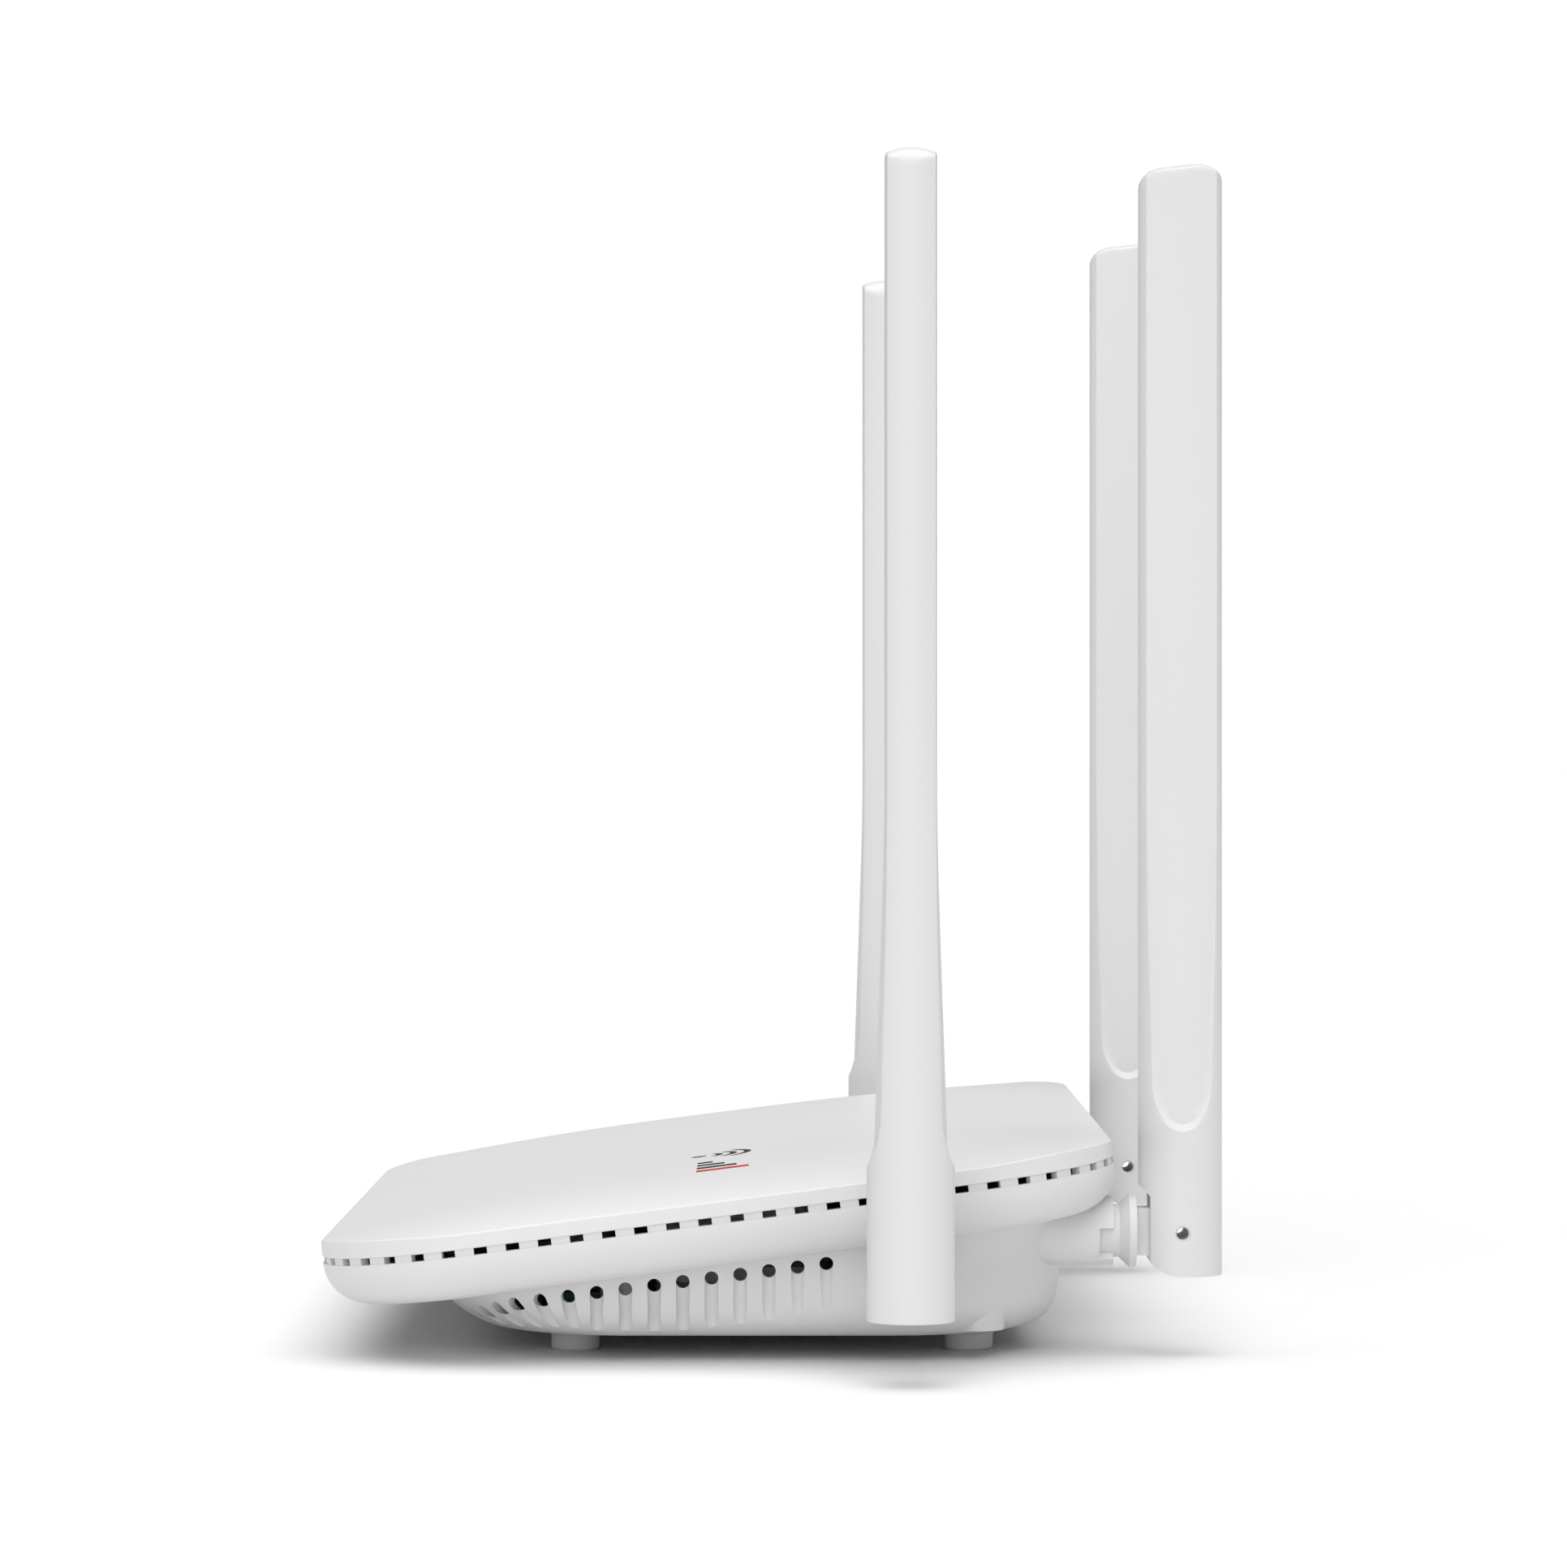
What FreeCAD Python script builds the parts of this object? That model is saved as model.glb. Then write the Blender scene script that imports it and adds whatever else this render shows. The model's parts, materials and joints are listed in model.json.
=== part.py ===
"""Desktop wireless range extender with folding paddle aerials.

Sizes are in millimetres. +Z is up, +Y points to the back, where the sockets are, and the origin is
on the surface that the feet stand on, under the middle of the whole object.
"""
import FreeCAD, Part
import math
import os
import re

import Sketcher

Vector = FreeCAD.Vector
Rotation = FreeCAD.Rotation
Placement = FreeCAD.Placement

# Driving dimensions: alias, value, what it is.
SIZES = (
    ("case_width", 200, "outer width of the case"),
    ("case_depth", 134, "plan depth of the case, front to back"),
    ("case_front", -76.1, "Y of the front of the case"),
    ("case_corner", 26, "plan radius of the case corners"),
    ("seam_front", 16.86, "height of the cover's lower edge at the front"),
    ("seam_rear", 33.92, "height of the cover's lower edge at the back"),
    ("cover_band", 2.46, "height of the cover's upright band"),
    ("cover_crown", 3.57, "rise of the cover's middle above its band"),
    ("crown_across", 8, "how flat the crown is across the case, as a power"),
    ("crown_along", 2.7, "how flat the crown is from front to back, as a power"),
    ("cover_draft", 3, "lean of the band, in degrees"),
    ("case_wall", 2, "wall of the cover and of the dish"),
    ("slot_height", 1.17, "height of the cooling slots under the cover"),
    ("slot_width", 2.23, "width of a cooling slot"),
    ("slot_pitch", 5.31, "spacing of the cooling slots"),
    ("slot_setback", 0.3, "how far the slotted strip stands back"),
    ("dish_depth", 8.6, "depth of the dish below the cover"),
    ("dish_round", 7, "radius of the dish's lower edge"),
    ("plinth_inset", 10, "plinth's side in from the case's side"),
    ("plinth_rear_inset", 5.6, "top of the plinth's back in from the case's back"),
    ("plinth_draft", 2.2, "how far each side of the plinth leans in to its foot"),
    ("plinth_rear_draft", 4.4, "how far the plinth's back leans in to its foot"),
    ("plinth_front", 19.8, "plinth's front edge behind the case's front"),
    ("plinth_ramp", 9.5, "length of the ramp under the plinth's front"),
    ("plinth_base", 4, "height of the plinth's underside"),
    ("plinth_round", 5.5, "radius of the plinth's lower edge"),
    ("plinth_wall", 1.8, "wall of the plinth"),
    ("vent_width", 2.3, "width of a side vent"),
    ("vent_pitch", 4.79, "spacing of the side vents"),
    ("vent_drop", 9.9, "vent tops below the cover's lower edge"),
    ("vent_fade", 8.5, "length over which a vent fades out"),
    ("vent_first", 9.1, "Y of the rearmost side vent"),
    ("vent_scoop", 1.0, "depth of the scoop below a side vent"),
    ("vent_corner_drop", 1.9, "how far the vents drop round the front corner, per radian squared"),
    ("vent_floor", 0.9, "lowest reach of a vent above the plinth's underside"),
    ("foot_radius", 4.1, "radius of a foot"),
    ("foot_flare", 5.3, "radius of a foot's top"),
    ("foot_reach", 66, "feet from the middle, along X"),
    ("foot_front_gap", 42.5, "front feet behind the case's front"),
    ("foot_rear_gap", 24.3, "rear feet in from the case's back"),
    ("boss_radius", 5.9, "radius of the collar around a swivel"),
    ("boss_end", 13.9, "collar's end in from the hinge pin"),
    ("boss_lip", 2.4, "how far the collar's lip stands past its end"),
    ("shaft_radius", 4.5, "radius of a swivel shaft"),
    ("running_gap", 0.05, "radial clearance of shafts and pins"),
    ("body_gap", 0.3, "clearance between pieces that move past each other"),
    ("shaft_lead_bore", 1.6, "radius of the lead's way through a shaft"),
    ("disc_radius", 6.15, "radius of the knuckle's disc"),
    ("disc_face", 7.6, "disc's face in from the hinge pin"),
    ("disc_thick", 1.2, "thickness of the disc"),
    ("cone_end", 10.45, "where the cone behind the disc ends"),
    ("cone_radius", 6.05, "larger radius of that cone"),
    ("tongue_height", 8, "height of the knuckle's tongue"),
    ("tongue_thick", 6, "thickness of the tongue"),
    ("clip_thick", 1, "thickness of a retaining clip"),
    ("clip_radius", 6.4, "outer radius of a retaining clip"),
    ("groove_depth", 0.9, "depth of the clip's groove"),
    ("rear_knuckle_inset", 27.3, "rear swivel in from the case's side"),
    ("rear_knuckle_drop", 13.09, "rear swivel below the cover's lower edge"),
    ("rear_pin_reach", 11.3, "rear hinge pin behind the case"),
    ("side_knuckle_gap", 35.5, "side swivel in from the case's back"),
    ("side_knuckle_drop", 11.43, "side swivel below the cover's lower edge"),
    ("side_pin_reach", 21, "side hinge pin out from the case"),
    ("pin_radius", 1.275, "radius of a hinge pin"),
    ("pin_wall", 0.25, "wall of the hollow hinge pin"),
    ("pin_recess", 0.6, "pin's ends in from the aerial's sides"),
    ("aerial_width", 14.2, "width of an aerial, and its base's diameter"),
    ("aerial_top", 180.9, "height of an aerial above its pin"),
    ("top_outer_corner", 4.5, "width of the round corner at an aerial's outer top"),
    ("top_outer_fall", 3.1, "height of that corner"),
    ("top_inner_corner", 4.6, "width of the round corner at an aerial's inner top"),
    ("top_inner_fall", 3.75, "height of that corner"),
    ("top_slope", 0.6, "fall of an aerial's top between its corners"),
    ("top_crown", 1.3, "fall of an aerial's top from its middle to past its faces"),
    ("aerial_base", 7.35, "depth of an aerial below its pin"),
    ("aerial_flat", 5.3, "flat in front of the aerial's base, from the pin"),
    ("shoulder_start", 17.2, "where the aerial's base ends"),
    ("shoulder_end", 20, "where its blade starts"),
    ("blade_even", 76, "where the blade stops getting thinner"),
    ("root_setback", 0.9, "blade's root in from the round base, in its middle"),
    ("root_crown", 0.37, "how much thinner the root is at its edge"),
    ("blade_middle", 4.22, "half thickness of the blade's middle"),
    ("blade_edge", 3.83, "half thickness of the blade's edge"),
    ("blade_wall", 1.3, "wall of the blade"),
    ("blade_cavity_start", 26, "where the blade's hollow starts"),
    ("slot_top", 5.9, "top of the hinge slot above the pin"),
    ("radiator_width", 8.6, "width of the radiator board"),
    ("radiator_thick", 0.8, "thickness of the radiator board"),
    ("radiator_length", 118, "length of the radiator board"),
    ("lead_radius", 0.6, "radius of the coaxial leads"),
    ("board_margin", 28, "board's side in from the case's side"),
    ("board_front_gap", 40, "board's front edge behind the case's front"),
    ("board_rear_gap", 14.5, "board's back edge in from the case's back"),
    ("board_base", 8.6, "height of the board's underside"),
    ("board_thick", 1.6, "thickness of the board"),
    ("standoff_radius", 2.6, "radius of a board standoff"),
    ("standoff_pilot", 1, "radius of a standoff's pilot hole and of the screw in it"),
    ("standoff_floor", 2.4, "bottom of the pilot hole above the plinth's underside"),
    ("board_screw_head", 2.1, "radius of a board screw's head"),
    ("chip_share", 0.55, "middle of the chips, as a share of the way from the board's front to its coils"),
    ("coil_gap", 6, "gap from the sockets to the middle of what stands in front of them"),
    ("capacitor_pitch", 9, "spacing of the capacitors"),
    ("capacitor_radius", 3, "radius of a capacitor"),
    ("sink_side", 29, "side of the heat sink"),
    ("sink_base", 2, "thickness of the heat sink's base"),
    ("sink_fin", 6, "height of the heat sink's fins above its base"),
    ("sink_fin_thick", 1.2, "thickness of a fin"),
    ("processor_side", 15, "side of the processor"),
    ("processor_thick", 1.8, "height of the processor"),
    ("pad_side", 13, "side of the thermal pad"),
    ("pad_thick", 0.7, "thickness of the thermal pad"),
    ("memory_x", 22, "memory chips from the middle, along X"),
    ("can_x", 42, "shielding cans from the middle, along X"),
    ("can_wide", 24, "width of a shielding can"),
    ("can_deep", 28, "depth of a shielding can"),
    ("can_tall", 2.6, "height of a shielding can"),
    ("can_wall", 0.3, "wall of a shielding can"),
    ("jack_width", 16, "width of a network socket"),
    ("jack_height", 13.4, "height of a network socket"),
    ("jack_depth", 17, "depth of a network socket"),
    ("plug_width", 11.7, "width of a socket's mouth"),
    ("plug_height", 6.9, "height of a socket's mouth"),
    ("plug_depth", 13, "depth of a socket's mouth"),
    ("wan_jack_x", -17.5, "X of the single network socket"),
    ("lan_jack_x", 9, "X of the pair of network sockets"),
    ("socket_setback", 8.4, "faces of the sockets in from the case's back"),
    ("dc_jack_x", -41, "X of the power socket"),
    ("dc_jack_width", 9, "width of the power socket"),
    ("dc_jack_height", 11, "height of the power socket"),
    ("dc_jack_depth", 13, "depth of the power socket"),
    ("dc_bore", 2.9, "radius of the power socket's bore"),
    ("dc_pin", 1.0, "radius of the power socket's pin"),
    ("opening_gap", 0.3, "clearance of a wall opening round a socket"),
    ("power_button_x", -31.2, "X of the power button"),
    ("pair_button_x", 33, "X of the pairing button"),
    ("button_radius", 3, "radius of a button"),
    ("button_height", 17, "height of the buttons' axes"),
    ("button_stand", 1.4, "how far a button stands out"),
    ("button_travel", 0.8, "travel of a button"),
    ("button_stem", 8, "length of a button behind the wall"),
    ("post_x", 20, "screw posts in from the case's side"),
    ("front_post_y", 51.2, "front screw posts behind the case's front"),
    ("rear_post_y", 22.8, "rear screw posts in from the case's back"),
    ("post_radius", 4, "radius of a screw post"),
    ("post_split", 4, "where the posts meet, below the cover's lower edge"),
    ("screw_radius", 1.2, "radius of a case screw"),
    ("screw_head", 2.5, "radius of a case screw's head"),
    ("screw_bite", 5.5, "length of a case screw in the cover's post"),
    ("keyhole_spacing", 80, "spacing of the wall-hanging keyholes"),
    ("keyhole_entry", 4, "radius of a keyhole's entry"),
    ("keyhole_neck", 2.1, "half width of a keyhole's slot"),
    ("light_count", 6, "number of indicator lights"),
    ("light_pitch", 9, "spacing of the indicator lights"),
    ("light_radius", 0.8, "radius of an indicator's light guide"),
    ("light_drop", 2.6, "light guides below the cover's lower edge"),
)
SHEET_NAME = "Sizes"
ALIASES = {row[0] for row in SIZES}
SECTION_REACH = 1.15  # how much wider than the aerial the outlines across its blade are drawn

doc = FreeCAD.newDocument("range_extender")
pieces = []


def make_sheet():
    sheet = doc.addObject("Spreadsheet::Sheet", SHEET_NAME)
    for row, (alias, value, note) in enumerate(SIZES, 1):
        sheet.set(f"A{row}", note)
        sheet.set(f"B{row}", str(value))
        sheet.setAlias(f"B{row}", alias)
    doc.recompute()
    return sheet


class Size:
    """Reads the sheet's numbers by name."""

    def __init__(self, sheet):
        self.sheet = sheet

    def __getattr__(self, alias):
        return float(self.sheet.get(alias))


# ---- small tools -------------------------------------------------------------------------------
def in_sheet(expression):
    def named(word):
        return f"{SHEET_NAME}.{word.group()}" if word.group() in ALIASES else word.group()

    return re.sub(r"[a-z_]+", named, str(expression))


def add(kind, name, at=(0, 0, 0), turn=None, **sizes):
    """A Part primitive whose sizes and place are expressions on the sheet."""
    item = doc.addObject(kind, name)
    if turn:
        item.Placement = Placement(Vector(), turn)
    for key, expression in sizes.items():
        item.setExpression(key, in_sheet(expression))
    for axis, expression in zip("xyz", at):
        item.setExpression(f"Placement.Base.{axis}", in_sheet(expression))
    return item


TO_Y = Rotation(Vector(1, 0, 0), -90)


def box(name, size, at):
    return add("Part::Box", name, at, Length=size[0], Width=size[1], Height=size[2])


def centred_box(name, size, middle):
    """A box with its middle in X and Y and its underside in Z at the given place."""
    corner = (f"({middle[0]}) - ({size[0]}) / 2", f"({middle[1]}) - ({size[1]}) / 2", middle[2])
    return box(name, size, corner)


def rod(name, radius, length, at, turn=None):
    return add("Part::Cylinder", name, at, turn, Radius=radius, Height=length)


def fuse(name, items):
    joined = doc.addObject("Part::MultiFuse", name)
    joined.Shapes = items
    return joined


def group(name, items):
    held = doc.addObject("Part::Compound", name)
    held.Links = items
    return held


def cut(name, base, tools):
    """Cuts the tools from the base. Tools that overlap each other are joined first."""
    result = doc.addObject("Part::Cut", name)
    result.Base = base
    result.Tool = tools[0] if len(tools) == 1 else fuse(f"{name}_tools", tools)
    return result


def feature(name, shape, place=None):
    item = doc.addObject("Part::Feature", name)
    item.Shape = shape
    if place:
        item.Placement = place
    return item


def piece(item, label):
    item.Label = label
    pieces.append(item)
    return item


def solid_of(shape):
    """The single solid in a shape, cleaned of seams between faces of one surface."""
    cleaned = shape.removeSplitter()
    return cleaned.Solids[0] if len(cleaned.Solids) == 1 else cleaned


# ---- sketches ----------------------------------------------------------------------------------
def new_body(name):
    return doc.addObject("PartDesign::Body", name)


def sketch_on(body, role, name, points):
    """A closed outline on an origin plane, with every corner's place bound to the sheet."""
    sketch = body.newObject("Sketcher::SketchObject", name)
    plane = next(item for item in body.Origin.OriginFeatures if item.Role == role)
    sketch.AttachmentSupport = (plane, [""])
    sketch.MapMode = "FlatFace"
    places = [tuple(sheet_value(value) for value in point) for point in points]
    count = len(places)
    for index in range(count):
        start, end = places[index], places[(index + 1) % count]
        sketch.addGeometry(Part.LineSegment(Vector(*start, 0), Vector(*end, 0)))
    for index in range(count):
        sketch.addConstraint(Sketcher.Constraint("Coincident", index, 2, (index + 1) % count, 1))
    for index, point in enumerate(points):
        for kind, expression, value in zip(("DistanceX", "DistanceY"), point, places[index]):
            row = sketch.addConstraint(Sketcher.Constraint(kind, -1, 1, index, 1, value))
            sketch.setExpression(f"Constraints[{row}]", in_sheet(expression))
    return sketch


def sheet_value(expression):
    return float(sheet.evalExpression(re.sub(f"{SHEET_NAME}\\.", "", in_sheet(expression))))


def pad(body, sketch, length):
    feature_pad = body.newObject("PartDesign::Pad", f"{body.Name}_pad")
    feature_pad.Profile = sketch
    feature_pad.setExpression("Length", in_sheet(length))
    return feature_pad


def spin(body, sketch):
    turned = body.newObject("PartDesign::Revolution", f"{body.Name}_turned")
    turned.Profile = sketch
    turned.ReferenceAxis = (sketch, ["V_Axis"])
    turned.Angle = 360
    return turned


def place_body(body, at):
    for axis, expression in zip("xyz", at):
        body.setExpression(f"Placement.Base.{axis}", in_sheet(expression))


# ---- the case's own frame: the plane of the cover's lower edge -----------------------------------
def seam_tilt(s):
    return math.atan2(s.seam_rear - s.seam_front, s.case_depth)


def seam_place(s):
    middle = Vector(0, s.case_front + s.case_depth / 2, (s.seam_front + s.seam_rear) / 2)
    return Placement(middle, Rotation(Vector(1, 0, 0), math.degrees(seam_tilt(s))))


def seam_height(s, y):
    return s.seam_front + (y - s.case_front) * math.tan(seam_tilt(s))


def rounded_outline(half_width, front, rear, corner, z):
    """A rectangle with round corners, symmetric in X, as eight edges."""
    diagonal = corner * (1 - math.sqrt(0.5))
    right, left = half_width, -half_width
    corners = (
        (Vector(right, front, z), 1, 1, 0),
        (Vector(right, rear, z), 1, -1, 1),
        (Vector(left, rear, z), -1, -1, 0),
        (Vector(left, front, z), -1, 1, 1),
    )
    arcs = []
    for point, side, inward, along_first in corners:
        on_front = point + Vector(-side * corner, 0, 0)
        on_side = point + Vector(0, inward * corner, 0)
        middle = point + Vector(-side * diagonal, inward * diagonal, 0)
        ends = (on_side, on_front) if along_first else (on_front, on_side)
        arcs.append(Part.Arc(ends[0], middle, ends[1]).toShape())
    edges = []
    for index, arc in enumerate(arcs):
        edges.append(arc)
        start = arc.Vertexes[-1].Point
        end = arcs[(index + 1) % 4].Vertexes[0].Point
        edges.append(Part.LineSegment(start, end).toShape())
    return Part.Wire(edges)


def case_outline(s, inset, z):
    """The case's plan outline in its own frame, drawn in by the given amount."""
    half_depth = s.case_depth / math.cos(seam_tilt(s)) / 2 - inset
    return rounded_outline(s.case_width / 2 - inset, -half_depth, half_depth, s.case_corner - inset, z)


def prism(wire, height):
    return Part.Face(wire).extrude(Vector(0, 0, height))


def crown_solid(s, drop, depth):
    """Everything under the pillow-shaped top of the cover, in the case's own frame."""
    half_width = s.case_width / 2
    half_depth = s.case_depth / math.cos(seam_tilt(s)) / 2
    steps = 22
    grid = []
    for column in range(-steps, steps + 1):
        across = 1.01 * column / steps
        line = []
        for row in range(-steps, steps + 1):
            along = 1.01 * row / steps
            rise = s.cover_crown * (1 - abs(across) ** s.crown_across) * (1 - abs(along) ** s.crown_along)
            line.append(Vector(across * half_width, along * half_depth, s.cover_band + rise - drop))
        grid.append(line)
    surface = Part.BSplineSurface()
    surface.interpolate(grid)
    return surface.toShape().extrude(Vector(0, 0, -depth))


def post_places(s):
    side = s.case_width / 2 - s.post_x
    front = s.case_front + s.front_post_y
    rear = s.case_front + s.case_depth - s.rear_post_y
    return [(x, y) for y in (front, rear) for x in (-side, side)]


def upright(radius, low, high, x, y):
    return Part.makeCylinder(radius, high - low, Vector(x, y, low))


# ---- top cover -----------------------------------------------------------------------------------
def cover_shape(s):
    lean = math.tan(math.radians(s.cover_draft))
    tall = s.cover_band + s.cover_crown + 1
    outer = Part.makeLoft([case_outline(s, 0, 0), case_outline(s, lean * tall, tall)], True, True)
    outer = outer.common(crown_solid(s, 0, tall * 2))
    inner = Part.makeLoft([case_outline(s, s.case_wall, -1), case_outline(s, s.case_wall, tall)], True, True)
    inner = inner.common(crown_solid(s, s.case_wall, tall * 2))
    shell = outer.cut(inner)
    shell.Placement = seam_place(s)
    under_top = crown_solid(s, s.case_wall / 2, tall * 6)
    under_top.Placement = seam_place(s)
    for x, y in post_places(s):
        low = seam_height(s, y) - s.post_split
        post = upright(s.post_radius - 0.6, low, low + 60, x, y).common(under_top)
        hole = upright(s.screw_radius, low, low + s.screw_bite + 0.8, x, y)
        shell = shell.fuse(post.cut(hole))
    return solid_of(shell)


# ---- bottom case ---------------------------------------------------------------------------------
def plinth_frame(s, inset, z):
    """The plinth's outline at a height: half width, front, rear and corner radius."""
    edge = s.plinth_round - inset
    low = s.plinth_base + inset
    top = s.seam_rear
    lift = min(1.0, (z - low) / edge)
    pull = edge * (1 - math.sqrt(1 - (1 - lift) ** 2))
    ramp = s.plinth_ramp * (1 - lift ** 0.6)
    lean = (top - z) / (top - low)
    half_width = s.case_width / 2 - s.plinth_inset - inset - s.plinth_draft * lean - pull
    front = s.case_front + s.plinth_front + inset + ramp
    rear = s.case_front + s.case_depth - s.plinth_rear_inset - inset - s.plinth_rear_draft * lean - pull
    return half_width, front, rear, s.case_corner - inset - pull / 2


def plinth_solid(s, inset):
    """The plinth as a stack of outlines that swell upward from its rounded lower edge."""
    edge = s.plinth_round - inset
    low = s.plinth_base + inset
    heights = [low + edge * (1 - math.cos(math.radians(degrees))) for degrees in (0, 30, 52, 70, 90)]
    heights += [(low + s.seam_rear) / 2, s.seam_rear]
    outlines = [rounded_outline(*plinth_frame(s, inset, z), z) for z in heights]
    solid = Part.makeLoft(outlines, True, False)
    limit = prism(case_outline(s, 3 + inset, -80), 80 - (3 if inset == 0 else 1))
    limit.Placement = seam_place(s)
    return solid.common(limit)


def dish_solid(s, inset, top):
    depth = s.dish_depth - inset
    solid = prism(case_outline(s, inset, -depth), depth + top)
    edges = [edge for edge in solid.Edges if edge.BoundBox.ZMax < -depth + 0.01]
    solid = solid.makeFillet(s.dish_round - inset, edges)
    solid.Placement = seam_place(s)
    return solid


def case_outer(s):
    return dish_solid(s, 0, 0).fuse(plinth_solid(s, 0))


def case_inner(s):
    return dish_solid(s, s.case_wall, 1).fuse(plinth_solid(s, s.plinth_wall))


def along_outline(wire, pitch):
    """Places and outward directions at even spacing along a closed outline."""
    count = int(round(wire.Length / pitch))
    points = wire.discretize(Number=count + 1)[:-1]
    places = []
    for index, point in enumerate(points):
        ahead = points[(index + 1) % count] - points[index - 1]
        places.append((point, math.degrees(math.atan2(-ahead.x, ahead.y))))
    return places


def slot_tools(s):
    """The cooling slots round the top of the dish, in the case's own frame."""
    depth = s.case_wall + 2
    tools = []
    for point, heading in along_outline(case_outline(s, s.slot_setback, 0), s.slot_pitch):
        slot = Part.makeBox(depth, s.slot_width, s.slot_height + 1,
                            Vector(-depth + 0.5, -s.slot_width / 2, -s.slot_height))
        slot.Placement = Placement(point, Rotation(Vector(0, 0, 1), heading))
        tools.append(slot)
    return Part.makeCompound(tools)


def slotted_strip_tool(s):
    """What is cut away to set the slotted strip back, in the case's own frame."""
    band = prism(case_outline(s, -1, -s.slot_height), s.slot_height + 1)
    return band.cut(prism(case_outline(s, s.slot_setback, -s.slot_height - 1), s.slot_height + 3))


def plinth_wall_point(s, z, turn):
    """A point on the plinth's right side and front corner, and the way that it faces there."""
    half_width, front, _, corner = plinth_frame(s, 0, z)
    outward = Vector(math.cos(turn), -math.sin(turn), 0)
    middle = Vector(half_width - corner, front + corner, z)
    return middle + outward * corner, outward


def vent_tools(s):
    """Round holes with a scoop fading out below each, down the sides and round the front corners."""
    radius = s.vent_width / 2
    straight_end = s.case_front + s.plinth_front + s.case_corner
    last_turn = math.radians(66)
    tools = []
    y = s.vent_first
    while (straight_end - y) / s.case_corner < last_turn:
        turn = max(0.0, (straight_end - y) / s.case_corner)
        level = max(y, straight_end - s.case_corner * math.sin(turn))
        top = seam_height(s, level) - s.vent_drop - radius - s.vent_corner_drop * turn ** 2
        low = max(top - s.vent_fade, s.plinth_base + s.vent_floor)
        wall, outward = plinth_wall_point(s, top, turn)
        foot = plinth_wall_point(s, low, turn)[0]
        wall.y += max(0.0, y - straight_end)
        foot.y = wall.y + (foot.y - wall.y) * min(1.0, turn / 0.6)
        hole_start = wall - outward * (s.plinth_wall + 2)
        hole = Part.makeCylinder(radius, s.plinth_wall + 4, hole_start, outward)
        start = wall + outward * (radius - s.vent_scoop)
        end = foot + outward * (radius + 0.1)
        scoop = Part.makeCylinder(radius, (end - start).Length, start, end - start)
        scoop = scoop.fuse([Part.makeSphere(radius, start), hole])
        tools += [scoop, scoop.mirror(Vector(), Vector(1, 0, 0))]
        y -= s.vent_pitch
    return tools


def knuckle_frames(s):
    """Each aerial's hinge: name, place of its pin, and its collar's inner end from the pin."""
    rear_y = s.case_front + s.case_depth
    rear_x = s.case_width / 2 - s.rear_knuckle_inset
    rear_z = seam_height(s, rear_y) - s.rear_knuckle_drop
    side_y = rear_y - s.side_knuckle_gap
    side_x = s.case_width / 2 + s.side_pin_reach
    side_z = seam_height(s, side_y) - s.side_knuckle_drop
    inner_corner = s.case_corner - s.plinth_wall
    into_corner = rear_x + s.clip_radius - (s.case_width / 2 - s.plinth_inset - s.case_corner)
    corner_sag = inner_corner - math.sqrt(inner_corner ** 2 - max(0, into_corner) ** 2)
    rear_inner = s.rear_pin_reach + s.plinth_rear_inset + s.plinth_wall + s.plinth_rear_draft + corner_sag
    side_inner = s.side_pin_reach + s.plinth_inset + s.plinth_wall + s.plinth_draft
    rear_pin = rear_y + s.rear_pin_reach
    return (
        ("rear_right", Vector(rear_x, rear_pin, rear_z), 0, rear_inner),
        ("rear_left", Vector(-rear_x, rear_pin, rear_z), 0, rear_inner),
        ("side_right", Vector(side_x, side_y, side_z), -90, side_inner),
        ("side_left", Vector(-side_x, side_y, side_z), 90, side_inner),
    )


def frame_place(pin, turn):
    return Placement(pin, Rotation(Vector(0, 0, 1), turn))


def along_axis(radius, near, far, end_radius=None):
    """A round piece on the swivel's axis, between two distances in from the pin."""
    if end_radius is None:
        return Part.makeCylinder(radius, far - near, Vector(0, -far, 0), Vector(0, 1, 0))
    return Part.makeCone(end_radius, radius, far - near, Vector(0, -far, 0), Vector(0, 1, 0))


def collar_solid(s, inner):
    """The collar that holds a swivel shaft, with a window in each side of its lip."""
    body = along_axis(s.boss_radius, s.boss_end, inner)
    lip = along_axis(s.boss_radius, s.boss_end - s.boss_lip, s.boss_end)
    reach = s.boss_radius * 3
    rays = [Vector(reach * math.cos(math.radians(a)), 0, reach * math.sin(math.radians(a))) for a in (8, -50)]
    for side in (1, -1):
        corners = [Vector(), Vector(side * rays[0].x, 0, rays[0].z), Vector(side * rays[1].x, 0, rays[1].z)]
        wedge = Part.Face(Part.makePolygon(corners + corners[:1])).extrude(Vector(0, s.boss_lip, 0))
        wedge.translate(Vector(0, -s.boss_end, 0))
        lip = lip.cut(wedge)
    return body.fuse(lip)


def rear_openings(s):
    """Openings in the back wall for the sockets and the buttons."""
    gap = s.opening_gap
    face = s.case_front + s.case_depth - s.plinth_rear_inset - s.plinth_wall - s.plinth_rear_draft - 1
    depth = s.plinth_wall + s.plinth_rear_draft + 6
    board_top = s.board_base + s.board_thick
    sockets = (
        (s.wan_jack_x, s.jack_width, s.jack_height),
        (s.lan_jack_x, s.jack_width * 2, s.jack_height),
        (s.dc_jack_x, s.dc_jack_width, s.dc_jack_height),
    )
    tools = []
    for x, width, height in sockets:
        corner = Vector(x - width / 2 - gap, face, board_top - gap)
        tools.append(Part.makeBox(width + 2 * gap, depth, height + 2 * gap, corner))
    for x in (s.power_button_x, s.pair_button_x):
        tools.append(Part.makeCylinder(s.button_radius + gap, depth, Vector(x, face, s.button_height),
                                       Vector(0, 1, 0)))
    return tools


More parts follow.
